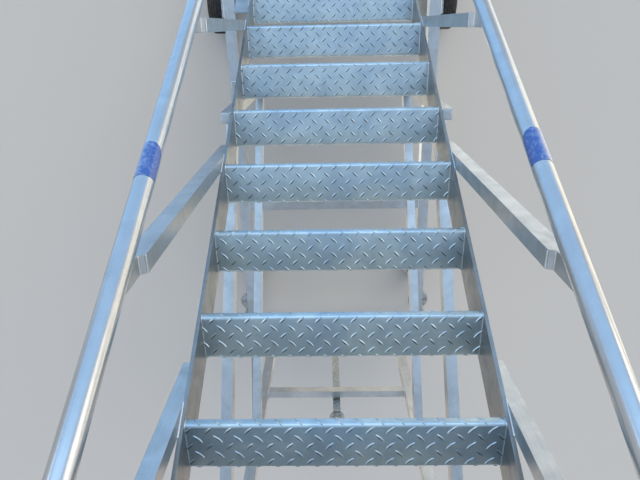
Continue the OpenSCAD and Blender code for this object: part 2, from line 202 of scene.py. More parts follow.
def grained_metal(name, dark, pale, smooth, rough, turn, edge, depth, grained):
    """A bare metal with a grain along one direction, clouds in its oxide and softened edges."""
    made, tree, shader = new_material(name, in_Metallic=1.0)
    place = own_place(tree)
    # Grain lines are 160 mm long and drawn 2.5 mm wide, as the real 0.2 mm ones would not show
    lines = add(tree, "ShaderNodeMapping", {"Vector": place}, vector_type="TEXTURE",
                in_Rotation=turn, in_Scale=(0.0025, 0.0025, 0.160))
    grain = noise(tree, lines.outputs[0], 1.0, in_Detail=3.0, in_Roughness=0.6)
    # Clouds of oxide and handling marks are about 70 mm across
    cloud = noise(tree, place, 0.070, in_Detail=4.0, in_Roughness=0.62, in_Distortion=0.6)
    # Small dull flecks are about 4 mm across
    flecks = spread(tree, noise(tree, place, 0.004, in_Detail=2.0), 0.0, 0.35, 0.62, 0.78)
    sum_up = add(tree, "ShaderNodeMath", {0: grain, 2: cloud}, operation="MULTIPLY_ADD", in_1=grained)
    both = sum_up.outputs[0]
    low, high = 0.35 + 0.35 * grained, 0.65 + 0.65 * grained
    tone = blend(tree, spread(tree, both, 0.0, 1.0, low, high), dark, pale)
    feed(shader, Base_Color=blend(tree, flecks, tone, dark),
         Roughness=spread(tree, both, rough, smooth, low, high),
         Normal=relief(tree, grain, 1.0, depth, edge))
    return made


# How the grain's own axis, which stands upright, is turned to follow a tube or a sheet
UPRIGHT = (0.0, 0.0, 0.0)
FORE_AND_AFT = (math.pi / 2, 0.0, 0.0)
CROSSWISE = (0.0, math.pi / 2, 0.0)
UP_SLOPE = (SLOPE - math.pi / 2, 0.0, 0.0)

# Bare metals: name, dark and pale tone, least and most roughness, turn of the grain, radius of the softened
# edges and depth of the grain in metres, and how much of the tone the grain carries
DRAWN = ("#B2B4B5", "#C9CBCC", 0.34, 0.42)
METALS = {
    # Rolled plate as it left the mill: dull grey with faint lines up the slope
    "plate": ("mill_finish_aluminium_plate", "#8A8D8E", "#A6A9AA", 0.36, 0.48,
              UP_SLOPE, 0.0012, 0.00002, 0.6),
    # Rolled strip, satin grey and paler than the thick plate
    "strip": ("mill_finish_aluminium_strip", "#A6A8A8", "#C4C6C6", 0.36, 0.48,
              FORE_AND_AFT, 0.0012, 0.00002, 0.6),
    # Extruded box tube, a little brighter than plate, with its die lines along the tube
    "upright": ("extruded_aluminium_upright", *DRAWN, UPRIGHT, 0.0016, 0.00002, 0.5),
    "long": ("extruded_aluminium_fore_and_aft", *DRAWN, FORE_AND_AFT, 0.0016, 0.00002, 0.5),
    "cross": ("extruded_aluminium_crosswise", *DRAWN, CROSSWISE, 0.0016, 0.00002, 0.5),
    # Satin-polished round tube: bright, with soft reflections and fine rub marks
    "rail": ("satin_polished_aluminium_tube", "#C0C4C8", "#CDD0D4", 0.22, 0.28,
             UP_SLOPE, 0.0010, 0.000004, 0.25),
}


def tear_sheet():
    """Aluminium tear plate: bluish satin with faint roller lines, and grime and painted shade on the rear
    flank of each lug.
    """
    made = grained_metal("aluminium_tear_plate", "#BBC9CF", "#D3E0E4", 0.33, 0.40,
                         CROSSWISE, 0.0010, 0.00001, 0.15)
    tree = made.node_tree
    shader = next(node for node in tree.nodes if node.type == "BSDF_PRINCIPLED")
    clean = shader.inputs["Base Color"].links[0].from_socket
    # Bluish stains about 160 mm across come from the rolling and from rain that dried
    stain = noise(tree, own_place(tree), 0.160, in_Detail=3.0, in_Roughness=0.55)
    tinted = blend(tree, spread(tree, stain, 0.0, 0.40, 0.44, 0.62), clean, "#A4B9CE")
    # Soles polish a lug's front; the flank behind its crest is painted dark, partly grime and partly painted
    # shade for the dark surroundings that flank mirrors
    grime_and_shade = add(tree, "ShaderNodeAttribute", attribute_name="grime_and_shade").outputs["Fac"]
    feed(shader, Base_Color=blend(tree, grime_and_shade, tinted, "#4A535A"))
    return made


def mottled(name, size, detail, dark, pale, rough, **settings):
    """A surface whose tone and roughness follow one noise, with marks as large as the size in metres."""
    made, tree, shader = new_material(name, **settings)
    marks = noise(tree, own_place(tree), size, in_Detail=detail)
    feed(shader, Base_Color=blend(tree, marks, dark, pale), Roughness=spread(tree, marks, *rough))
    return made, tree, shader, marks


def weld_metal():
    """Aluminium weld metal: bright and clean, with soot and oxide in patches about 6 mm across."""
    return mottled("aluminium_weld_bead", 0.006, 3.0, "#C4C5C4", "#F2F3F3", (0.42, 0.22),
                   in_Metallic=1.0)[0]


def bright_zinc():
    """Zinc-plated fasteners: thin bright plating with handling marks about 3 mm across."""
    return mottled("bright_zinc_plated_steel", 0.003, 3.0, "#9EA4A8", "#D3D8DC", (0.20, 0.42),
                   in_Metallic=1.0)[0]


def moulded_plastic():
    """Black polyethylene end plugs: slightly glossy, with pits about 1.5 mm across from the mould."""
    made, tree, shader, pits = mottled("moulded_black_polyethylene", 0.0015, 2.0, "#1A1B1C", "#2C2D2F",
                                       (0.35, 0.55), in_IOR=1.51)
    feed(shader, Normal=relief(tree, pits, 0.4, 0.0002))
    return made


def zinc_dip():
    """Hot-dip galvanised steel: grey crystals about 9 mm across, each turned its own way."""
    made, tree, shader = new_material("hot_dip_galvanised_steel", in_Metallic=1.0)
    place = own_place(tree)
    # The crystals' borders wander by up to 6 mm, in bends about 10 mm across
    bend = add(tree, "ShaderNodeTexNoise", {"Vector": place}, in_Scale=1 / 0.010, in_Detail=2.0)
    wander = add(tree, "ShaderNodeVectorMath", {0: bend.outputs["Color"]}, operation="SCALE", in_Scale=0.006)
    spot = add(tree, "ShaderNodeVectorMath", {0: place, 1: wander.outputs[0]}, operation="ADD")
    crystal = add(tree, "ShaderNodeTexVoronoi", {"Vector": spot.outputs[0]}, in_Scale=1 / 0.009)
    pick = add(tree, "ShaderNodeSeparateColor", {"Color": crystal.outputs["Color"]})
    feed(shader, Base_Color=blend(tree, pick.outputs[0], "#8E9394", "#B9BDBE"),
         Roughness=spread(tree, pick.outputs[1], 0.34, 0.56),
         Normal=relief(tree, bend.outputs[0], 0.6, 0.0002, 0.0010))
    return made


def rubber(name, dark, dusty, grit):
    """Black rubber: nearly matt, with pale dust in patches and a fine moulded grain."""
    made, tree, shader = new_material(name, in_IOR=1.52)
    place = own_place(tree)
    # The dust lies in patches about 35 mm across
    dust = noise(tree, place, 0.035, in_Detail=5.0, in_Roughness=0.65)
    feed(shader, Base_Color=blend(tree, spread(tree, dust, 0.0, 1.0, 0.42, 0.72), dark, dusty),
         Roughness=spread(tree, dust, 0.55, 0.85),
         Normal=relief(tree, noise(tree, place, grit, in_Detail=2.0), 0.5, 0.0003))
    return made


def tyre_rubber():
    """Vulcanised tyre rubber with a 2 mm moulded grain, dusty from the apron."""
    return rubber("vulcanised_tyre_rubber", "#1B1B1C", "#3B3936", 0.002)


def bumper_rubber():
    """Extruded EPDM rubber for the bumpers, with a 4 mm grain, smoother than a tyre."""
    return rubber("extruded_epdm_rubber", "#202122", "#34343A", 0.004)


def blue_vinyl():
    """Printed blue vinyl film: a clear gloss over the colour, scuffed pale at random, and a painted sheen
    that makes it paler towards the rail's outer side.
    """
    made, tree, shader = new_material("glossy_blue_vinyl_film", in_IOR=1.53, in_Coat_Weight=1.0,
                                      in_Coat_Roughness=0.12)
    place = own_place(tree)
    # Scuffs are about 12 mm across, and their finest scratches under 1 mm
    scuff = noise(tree, place, 0.012, in_Detail=5.0, in_Roughness=0.7, in_Distortion=0.8)
    # The outer side of a rail is painted paler, a painted sheen added to the random scuffs
    across = add(tree, "ShaderNodeSeparateXYZ", {"Vector": place})
    off = add(tree, "ShaderNodeMath", {0: across.outputs["X"]}, operation="ABSOLUTE")
    outer = spread(tree, off.outputs[0], 0.0, 0.24, RAIL_X - RAIL_R / 2, RAIL_X + RAIL_R)
    scuffs_and_outer_sheen = add(tree, "ShaderNodeMath", {0: scuff, 1: outer}, operation="ADD").outputs[0]
    scuffs_and_sheen = spread(tree, scuffs_and_outer_sheen, 0.0, 0.80, 0.50, 0.82)
    feed(shader, Base_Color=blend(tree, scuffs_and_sheen, "#1A54B4", "#8FB2E2"),
         Roughness=spread(tree, scuff, 0.22, 0.50))
    return made


MAKERS = {
    "tear": tear_sheet,
    "weld": weld_metal,
    "zinc": zinc_dip,
    "fastener": bright_zinc,
    "tyre": tyre_rubber,
    "bumper": bumper_rubber,
    "plastic": moulded_plastic,
    "film": blue_vinyl,
}
READY = {}


def material(key):
    """Makes a material the first time it is asked for."""
    if key not in READY:
        READY[key] = MAKERS[key]() if key in MAKERS else grained_metal(*METALS[key])
    return READY[key]


# Shapes that several pieces share

def placed(at, along=(0.0, 0.0, 1.0)):
    """A matrix that stands a shape's Z axis along a direction at a point."""
    turn = Vector(along).to_track_quat("Z", "Y")
    return Matrix.Translation(at) @ turn.to_matrix().to_4x4()


def new_object(name, data):
    """Puts a mesh, a lamp or a camera into the scene."""
    made = bpy.data.objects.new(name, data)
    bpy.context.scene.collection.objects.link(made)
    return made


def new_mesh(name, bm):
    """Turns a bmesh into a mesh, and frees it."""
    mesh = bpy.data.meshes.new(name)
    bm.to_mesh(mesh)
    bm.free()
    return mesh


def join(bm, own):
    """Adds a finished shape to a piece."""
    mesh = new_mesh("shape", own)
    bm.from_mesh(mesh)
    bpy.data.meshes.remove(mesh)


def verts_in(geom):
    """The vertices among what an operator made."""
    return [item for item in geom if isinstance(item, bmesh.types.BMVert)]


def fill_holes(bm):
    """Closes every open rim with a face."""
    bmesh.ops.holes_fill(bm, edges=[edge for edge in bm.edges if edge.is_boundary], sides=0)


def chain(own, points, closed=False):
    """Vertices at the points, and the edges that join them in a row or a ring."""
    verts = [own.verts.new(point) for point in points]
    ends = verts[1:] + verts[:1] if closed else verts[1:]
    return verts, [own.edges.new(pair) for pair in zip(verts, ends)]


def arc(spot, start, end, step):
    """Points at even angles, in degrees; spot makes a point from the angle's cosine and sine."""
    turns = [math.radians(angle) for angle in range(start, end + 1, step)]
    return [spot(math.cos(turn), math.sin(turn)) for turn in turns]


def ease(own, edges, width, segments=2):
    """Rounds the given edges of a shape."""
    bmesh.ops.bevel(own, geom=edges, offset=width, offset_type="OFFSET", affect="EDGES",
                    segments=segments, profile=0.5, material=-1, clamp_overlap=True)


def block(bm, low, high, edge=0.0, turn=None):
    """A block between two corners with eased edges, turned about its middle if asked."""
    own = bmesh.new()
    low, high = Vector(low), Vector(high)
    spot = Matrix.Translation((low + high) / 2)
    if turn is not None:
        spot = spot @ turn
    size = Matrix.Diagonal((*(abs(b - a) for a, b in zip(low, high)), 1.0))
    bmesh.ops.create_cube(own, size=1.0, matrix=spot @ size)
    if edge:
        ease(own, own.edges[:], edge)
    join(bm, own)


def rod(bm, start, end, radius, end_radius=None, steps=24, edge=0.0):
    """A round bar between two points, or a taper where the end radius differs."""
    own = bmesh.new()
    start, end = Vector(start), Vector(end)
    bmesh.ops.create_cone(own, cap_ends=True, cap_tris=False, segments=steps, radius1=radius,
                          radius2=radius if end_radius is None else end_radius,
                          depth=(end - start).length, matrix=placed((start + end) / 2, end - start))
    if edge:
        ease(own, list({e for face in own.faces if len(face.verts) == steps for e in face.edges}), edge)
    join(bm, own)


def lathe(profile, at, along, steps):
    """A shape spun about an axis from pairs of radius and height, in millimetres."""
    own = bmesh.new()
    stand = placed(at, along)
    points = [stand @ Vector((radius / 1000, 0.0, height / 1000)) for radius, height in profile]
    verts, edges = chain(own, points)
    bmesh.ops.spin(own, geom=verts + edges, cent=at, axis=Vector(along).normalized(), angle=math.tau,
                   steps=steps, use_merge=True)
    bmesh.ops.remove_doubles(own, verts=own.verts[:], dist=SAME)
    return own


def turned(bm, profile, at, along, steps=48):
    """Adds a spun shape to a piece."""
    join(bm, lathe(profile, at, along, steps))


def bolt(bm, at, along, across):
    """A hexagon head on its washer, looking out along a direction."""
    out = Vector(along).normalized()
    at = Vector(at)
    rod(bm, at - out * 0.0004, at + out * across * 0.13, across * 0.68, steps=24, edge=across * 0.03)
    rod(bm, at + out * across * 0.12, at + out * across * 0.68, across * 0.577, steps=6, edge=across * 0.05)
    rod(bm, at + out * across * 0.66, at + out * across * 0.74, across * 0.40, across * 0.34, steps=20)


def spaced(path, gap):
    """Points at even gaps along a broken line."""
    path = [Vector(point) for point in path]
    legs = [(b - a).length for a, b in zip(path, path[1:])]
    total = sum(legs)
    count = max(3, round(total / gap))
    points, leg, gone = [], 0, 0.0
    for index in range(count + 1):
        want = total * index / count
        while leg < len(legs) - 1 and want > gone + legs[leg]:
            gone += legs[leg]
            leg += 1
        part = (want - gone) / legs[leg] if legs[leg] else 0.0
        points.append(path[leg].lerp(path[leg + 1], min(part, 1.0)))
    return points


def bead(bm, path, radius, ripple=0.0040):
    """A weld bead along a path, stepped by the ripples that the torch leaves."""
    end, dip = 0.6, 0.80
    points = spaced(path, ripple / 2)
    ways = [(b - a).normalized() for a, b in zip(points, points[1:])]
    ways.append(ways[-1])
    own = bmesh.new()
    bmesh.ops.create_circle(own, cap_ends=False, segments=7, radius=radius * end,
                            matrix=placed(points[0], ways[0]))
    edges = own.edges[:]
    rims = edges[:]
    size = end
    for index in range(1, len(points)):
        grown = bmesh.ops.extrude_edge_only(own, edges=edges)["geom"]
        edges = [item for item in grown if isinstance(item, bmesh.types.BMEdge) and item.is_boundary]
        want = 1.0 if index % 2 else dip
        if index == len(points) - 1:
            want = end
        turn = ways[index - 1].rotation_difference(ways[index]).to_matrix().to_4x4()
        move = Matrix.Translation(points[index]) @ turn @ Matrix.Scale(want / size, 4)
        bmesh.ops.transform(own, matrix=move @ Matrix.Translation(-points[index - 1]), verts=verts_in(grown))
        size = want
    bmesh.ops.holes_fill(own, edges=rims + edges, sides=0)
    join(bm, own)


def bead_up(bm, x, y, start, end, radius, ripple=0.0040):
    """A straight upright bead."""
    bead(bm, [(x, y, start), (x, y, end)], radius, ripple)


def bead_along(bm, x, start, end, z, radius, ripple=0.0040):
    """A straight level bead that runs fore and aft."""
    bead(bm, [(x, start, z), (x, end, z)], radius, ripple)


def bead_box(bm, low, high, radius, sides="xXyY", ripple=0.0050):
    """Weld beads round the foot of an upright tube; low and high share one height."""
    (x1, y1, z), (x2, y2, _) = low, high
    runs = {"y": ((x1, y1, z), (x2, y1, z)), "X": ((x2, y1, z), (x2, y2, z)),
            "Y": ((x2, y2, z), (x1, y2, z)), "x": ((x1, y2, z), (x1, y1, z))}
    for key, path in runs.items():
        if key in sides:
            bead(bm, path, radius, ripple)


def ring_path(at, along, radius, steps=28):
    """A circle of points about an axis."""
    stand = placed(at, along)
    turns = [math.tau * step / steps for step in range(steps + 1)]
    return [stand @ Vector((radius * math.cos(a), radius * math.sin(a), 0.0)) for a in turns]


def face_outwards(bm):
    """Turns the faces of every closed shell outward, by the sign of the volume inside it."""
    bmesh.ops.recalc_face_normals(bm, faces=bm.faces[:])
    seen = set()
    for start in bm.faces:
        if start in seen:
            continue
        seen.add(start)
        shell = [start]
        for face in shell:
            for edge in face.edges:
                fresh = [other for other in edge.link_faces if other not in seen]
                seen.update(fresh)
                shell.extend(fresh)
        middle = start.calc_center_median()
        volume = 0.0
        for face in shell:
            arms = [vert.co - middle for vert in face.verts]
            for one, two in zip(arms[1:], arms[2:]):
                volume += arms[0].dot(one.cross(two))
        if volume < 0.0:
            bmesh.ops.reverse_faces(bm, faces=shell)


def piece(bm, name, finish, body, sharp=32.0):
    """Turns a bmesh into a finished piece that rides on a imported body."""
    face_outwards(bm)
    for face in bm.faces:
        face.smooth = True
    mesh = new_mesh(name, bm)
    mesh.set_sharp_from_angle(angle=math.radians(sharp))
    mesh.materials.append(material(finish))
    made = new_object(name, mesh)
    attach(made, body)
    return made


# Sizes and colours that a user may change

class StairsPlate(bpy.types.PropertyGroup):
    """The pattern of the tear plate."""
    lug_length: FloatProperty(name="Lug length", description="Length of one raised lug",
                              default=0.031, min=0.015, max=0.040, unit="LENGTH")
    lug_width: FloatProperty(name="Lug width", description="Width of one raised lug at its middle",
                             default=0.0078, min=0.003, max=0.012, unit="LENGTH")
    lug_height: FloatProperty(name="Lug height", description="Height of a lug above the sheet",
                              default=0.0020, min=0.0005, max=0.0030, unit="LENGTH")
    lug_pitch: FloatProperty(name="Lug pitch", description="Distance between two lugs that lie the same way",
                             default=0.047, min=0.035, max=0.060, unit="LENGTH")


class StairsWelds(bpy.types.PropertyGroup):
    """The size of the weld beads."""
    tread_bead: FloatProperty(name="Tread bead", description="Radius of the beads at the ends of a tread",
                              default=0.0022, min=0.001, max=0.004, unit="LENGTH")
    post_bead: FloatProperty(name="Post bead", description="Radius of the beads on the handrail posts",
                             default=0.0026, min=0.001, max=0.005, unit="LENGTH")
    frame_bead: FloatProperty(name="Frame bead", description="Radius of the beads on the frame",
                              default=0.0034, min=0.001, max=0.006, unit="LENGTH")


class StairsMarks(bpy.types.PropertyGroup):
    """The blank blue films on the handrails."""
    film_length: FloatProperty(name="Film length", description="Length of a film along the rail",
                               default=0.099, min=0.060, max=0.160, unit="LENGTH")
    film_width: FloatProperty(name="Film width", description="Width of a film round the rail",
                              default=0.066, min=0.030, max=0.120, unit="LENGTH")
    left_place: FloatProperty(name="Left film", description="Fore and aft place of the left film's middle",
                              default=-0.4322, min=-1.1, max=0.3, unit="LENGTH")
    right_place: FloatProperty(name="Right film", description="Fore and aft place of the right film's middle",
                               default=-0.4191, min=-1.1, max=0.3, unit="LENGTH")


class StairsRunning(bpy.types.PropertyGroup):
    """The tyres, rims and jacks."""
    tread_blocks: IntProperty(name="Tread blocks", description="Tread blocks round one tyre shoulder",
                              default=30, min=12, max=60)
    groove: FloatProperty(name="Groove depth", description="Depth of the tyre's grooves",
                          default=0.004, min=0.001, max=0.008, unit="LENGTH")
    thread_pitch: FloatProperty(name="Thread pitch", description="Pitch of the jack screws",
                                default=0.006, min=0.003, max=0.012, unit="LENGTH")


class StairsStage(bpy.types.PropertyGroup):
    """The floor and the studio light."""
    floor_colour: FloatVectorProperty(name="Floor colour", description="Colour of the plain floor",
                                      default=linear("#C0C2C3")[:3], min=0.0, max=1.0, subtype="COLOR")
    front_colour: FloatVectorProperty(name="Front light", description="Colour of the light from the front",
                                      default=linear("#AEC6DE")[:3], min=0.0, max=1.0, subtype="COLOR")
    rear_colour: FloatVectorProperty(name="Rear light", description="Colour of the light from the rear",
                                     default=linear("#D0D0CE")[:3], min=0.0, max=1.0, subtype="COLOR")
    top_colour: FloatVectorProperty(name="Top light", description="Colour of the light from above",
                                    default=linear("#BFD6F0")[:3], min=0.0, max=1.0, subtype="COLOR")
    horizon_colour: FloatVectorProperty(name="Horizon", description="Colour of the background at the horizon",
                                        default=linear("#C3C7CB")[:3], min=0.0, max=1.0, subtype="COLOR")
    key_strength: FloatProperty(name="Key strength", description="Strength of the soft main lamp",
                                default=1.8, min=0.0, max=10.0)
    blue_power: FloatProperty(name="Blue cards", description="Power of the blue cards before the flight",
                              default=140.0, min=0.0, max=2000.0, unit="POWER")
    sky_power: FloatProperty(name="Sky cards", description="Power of the pale blue cards before the flight",
                             default=240.0, min=0.0, max=2000.0, unit="POWER")
    cream_power: FloatProperty(name="Pale cards", description="Power of the cream, warm and pale side cards",
                               default=140.0, min=0.0, max=2000.0, unit="POWER")


# The stage

# The glowing cards: name, place, the point it faces, size, whose power it takes and what share, and colour
CARDS = (
    ("blue_floor_card", (3.55, -4.05, 0.02), (3.55, -4.05, 1.0), (7.7, 6.1), "blue_power", 0.74, "#12B0FF"),
    ("blue_corner_card", (-3.2, -6.0, 0.02), (-3.2, -6.0, 1.0), (4.6, 2.6), "blue_power", 0.19, "#12B0FF"),
    ("blue_low_card", (2.6, -7.2, 2.3), (2.6, 0.0, 2.3), (17.0, 4.6), "blue_power", 1.0, "#12B0FF"),
    ("pale_high_card", (0.5, -7.2, 7.1), (0.5, 0.0, 1.5), (12.0, 5.0), "sky_power", 1.0, "#BBDDFF"),
    ("pale_top_card", (0.3, -3.2, 8.0), (0.3, -0.2, 2.4), (9.0, 3.0), "sky_power", 0.11, "#BBDDFF"),
    ("cream_low_card", (-0.3, 0.6, 0.02), (-0.3, 0.6, 1.0), (1.4, 2.4), "cream_power", 0.04, "#FFEFCF"),
    ("cream_card", (-4.85, -1.75, 0.02), (-4.85, -1.75, 1.0), (4.9, 5.7), "cream_power", 0.7, "#FFEFCF"),
    ("cream_near_card", (-1.35, -1.2, 0.02), (-1.35, -1.2, 1.0), (2.1, 3.0), "cream_power", 0.12, "#F4F8F4"),
    ("warm_rear_card", (0.0, 3.0, 0.02), (0.0, 3.0, 1.0), (3.2, 2.2), "cream_power", 0.05, "#FFD2A0"),
    ("cream_side_card", (-8.0, -3.3, 4.4), (0.0, -3.3, 4.4), (7.6, 7.6), "cream_power", 2.1, "#FFF6E6"),
    ("pale_side_card", (8.5, -3.3, 6.2), (0.0, -3.3, 6.2), (7.6, 4.6), "cream_power", 1.5, "#E4F1FF"),
)
KEY_PLACE = Vector((-2.2, -4.8, 6.3))
KEY_SPREAD = math.radians(66.0)
KEY_COLOUR = "#FFE6C6"


def lamp(name, kind, at, aim, power, colour):
    """A lamp at a point, turned towards another."""
    data = bpy.data.lights.new(name, kind)
    data.energy = power
    data.color = linear(colour)[:3]
    made = new_object(name, data)
    made.location = at
    made.rotation_euler = (Vector(aim) - Vector(at)).to_track_quat("-Z", "Y").to_euler()
    return made


def make_lamps(look):
    """The soft main lamp, and the cards that only the gloss of the metal shows."""
    key = lamp("key_lamp", "SUN", KEY_PLACE, (0.0, 0.0, 0.0), look.key_strength, KEY_COLOUR)
    key.data.angle = KEY_SPREAD
    key.visible_glossy = False
    for name, at, aim, size, source, share, colour in CARDS:
        card = lamp(name, "AREA", at, aim, getattr(look, source) * share, colour)
        card.data.shape = "RECTANGLE"
        card.data.size, card.data.size_y = size
        card.visible_camera = False
        card.visible_diffuse = False


def make_camera():
    """The photograph's camera, over the upper treads and looking down along the flight."""
    pitch, yaw, roll = (math.radians(angle) for angle in CAMERA_ANGLES)
    level = math.sin(yaw) * ALONG_X + math.cos(yaw) * DOWN_SLOPE
    forward = math.cos(pitch) * level - math.sin(pitch) * OFF_SLOPE
    across = forward.cross(OFF_SLOPE).normalized()
    under = forward.cross(across)
    right = math.cos(roll) * across + math.sin(roll) * under
    down = math.cos(roll) * under - math.sin(roll) * across
    at = (nose(TREAD_COUNT) - CAMERA_UP_SLOPE * DOWN_SLOPE + CAMERA_OFF_SLOPE * OFF_SLOPE
          - CAMERA_TO_RIGHT * ALONG_X)
    data = bpy.data.cameras.new("camera")
    data.sensor_width = CAMERA_SENSOR
    data.lens = CAMERA_LENS
    data.clip_start = 0.05
    data.clip_end = 200.0
    camera = new_object("camera", data)
    turn = Matrix((right, -down, -forward)).transposed()
    camera.matrix_world = Matrix.Translation(at) @ turn.to_4x4()
    return camera


def make_world(look):
    """Even light: tinted at the front, the rear and the top, with a plain band at the horizon."""
    world = bpy.data.worlds.new("even_light")
    world.use_nodes = True
    sky = world.node_tree
    sky.nodes.clear()
    way = add(sky, "ShaderNodeTexCoord").outputs["Generated"]
    part = add(sky, "ShaderNodeSeparateXYZ", {"Vector": way})
    colour = (*look.front_colour, 1.0)
    smooth = {"interpolation_type": "SMOOTHSTEP"}
    rear = spread(sky, part.outputs["Y"], 0.0, 1.0, -0.8, 0.8, **smooth)
    colour = blend(sky, rear, colour, (*look.rear_colour, 1.0))
    top = spread(sky, part.outputs["Z"], 0.0, 1.0, 0.60, 0.95, **smooth)
    colour = blend(sky, top, colour, (*look.top_colour, 1.0))
    above = spread(sky, part.outputs["Z"], 0.0, 1.0, 0.06, 0.32, **smooth)
    colour = blend(sky, above, (*look.horizon_colour, 1.0), colour)
    glow = add(sky, "ShaderNodeBackground", {"Color": colour}, in_Strength=1.0)
    add(sky, "ShaderNodeOutputWorld", {"Surface": glow.outputs[0]})
    return world


class STAIRS_OT_stage(bpy.types.Operator):
    """Makes the camera, the plain floor, the lamps and the even light from all round"""
    bl_idname = "stairs.stage"
    bl_label = "Stage and Camera"

    def execute(self, context):
        look = context.scene.stairs_stage
        context.scene.camera = make_camera()
        bm = bmesh.new()
        bmesh.ops.create_grid(bm, x_segments=8, y_segments=8, size=FLOOR_HALF)
        floor = new_object("floor", new_mesh("floor", bm))
        paint = new_material("plain_floor_paint", in_Base_Color=(*look.floor_colour, 1.0), in_Roughness=0.9,
                             in_Specular_IOR_Level=0.1)[0]
        floor.data.materials.append(paint)
        context.scene.world = make_world(look)
        make_lamps(look)
        context.scene.view_settings.view_transform = "Standard"
        return {"FINISHED"}


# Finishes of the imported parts

FINISHES = {
    "plate": ("stringer_left", "stringer_right", "stringer_feet"),
    "strip": ("side_bracket", "toe_boards"),
    "tear": ("flight_treads", "landing_deck"),
    "upright": ("posts_left", "posts_right", "guard_posts", "rear_legs", "flight_props", "outrigger_struts"),
    "long": ("landing_side_beams", "side_diagonals", "base_rail_left", "base_rail_right"),
    "cross": ("landing_cross_beams", "rear_cross_bars", "base_cross_tubes"),
    "rail": ("handrail_left", "handrail_right", "knee_rails", "gate_bar"),
    "zinc": ("gate_ears", "axle_brackets", "castor_plates", "jack_sleeves", "tow_ears", "castor_fork_left",
             "castor_fork_right", "castor_hub_left", "castor_hub_right", "tow_bar", "wheel_rim_left",
             "wheel_rim_right", "jack_front_left", "jack_rear_left", "jack_front_right", "jack_rear_right"),
    "tyre": ("wheel_tyre_left", "wheel_tyre_right", "castor_tyre_left", "castor_tyre_right"),
    "bumper": ("landing_bumpers",),
}


class STAIRS_OT_finishes(bpy.types.Operator):
    """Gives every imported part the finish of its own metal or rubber"""
    bl_idname = "stairs.finishes"
    bl_label = "Finishes of the Parts"

    def execute(self, context):
        for key, nodes in FINISHES.items():
            for name in nodes:
                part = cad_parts[name]
                if not part.material_slots:
                    part.data.materials.append(material(key))
                for place in part.material_slots:
                    place.material = material(key)
        return {"FINISHED"}


# Tear plate

def lug_shape(plate):
    """One closed lug, pointed at both ends, with its foot just below the sheet."""
    bm = bmesh.new()
    half, wide = plate.lug_length / 2, plate.lug_width / 2
    back = (half * half - wide * wide) / (2 * wide)
    reach = 2 * math.atan2(half, back)
    tip = bm.verts.new((-half, 0.0, -0.0002))
    bmesh.ops.spin(bm, geom=[tip], cent=(0.0, -back, 0.0), axis=(0.0, 0.0, -1.0), angle=reach, steps=6)
    edges = bm.edges[:]
    # Each ring in turn: how much of the last one's length and width it keeps, and its share of the height
    for shrink, flat, height in ((0.96, 0.56, 0.80), (0.94, 0.50, 0.96), (0.86, 0.0, 1.0)):
        grown = bmesh.ops.extrude_edge_only(bm, edges=edges)["geom"]
        verts = verts_in(grown)
        edges = [item for item in grown if isinstance(item, bmesh.types.BMEdge)
                 and all(vert in verts for vert in item.verts)]
        for vert in verts:
            vert.co.x *= shrink
            vert.co.y *= flat
            vert.co.z = plate.lug_height * height
    bmesh.ops.mirror(bm, geom=bm.verts[:] + bm.edges[:] + bm.faces[:], matrix=Matrix.Identity(4),
                     merge_dist=1e-5, axis="Y")
    bmesh.ops.remove_doubles(bm, verts=bm.verts[:], dist=SAME)
    bmesh.ops.holes_fill(bm, edges=bm.edges[:], sides=0)
    # The rear half of each lug carries its grime and the painted shade of its back flank
    grime_and_shade = bm.verts.layers.float.new("grime_and_shade")
    for vert in bm.verts:
        vert[grime_and_shade] = 1.0 if vert.co.y > wide * 0.1 else 0.0
    return new_mesh("lug", bm)


def on_sheet(front, x, run, lift, depth=None):
    """A point of the folded sheet: run is measured back from the nose's front, over the fold."""
    if depth is not None and run > depth / 2:
        spot = on_sheet(Vector((0.0, 0.0, 0.0)), x, depth - run, lift)
        return front + Vector((x, depth - spot.y, spot.z))
    if run >= FOLD_R:
        return front + Vector((x, run, lift))
    round_run = (FOLD_R - run) / FOLD_R
    angle = min(round_run, math.pi / 2)
    below = (round_run - angle) * FOLD_R
    reach = FOLD_R + lift
    return front + Vector((x, FOLD_R - reach * math.sin(angle), reach * math.cos(angle) - FOLD_R - below))


# How far a slanted lug reaches from its middle, how far the lugs run on round a fold, and how much of the
# grime and painted shade on the lugs' rear flanks stays on the folds, where the grime is rubbed off
LUG_REACH = 0.011
OVER_FOLD = FOLD_R * (math.pi / 2 - 1) + LIP - FOLD_R - 0.0004
FOLD_GRIME_AND_SHADE = 0.2
# Gaps between the lugs' cut ends and the stringers, on the treads and on the deck
TREAD_GAP = 0.0003
DECK_GAP = 0.0006


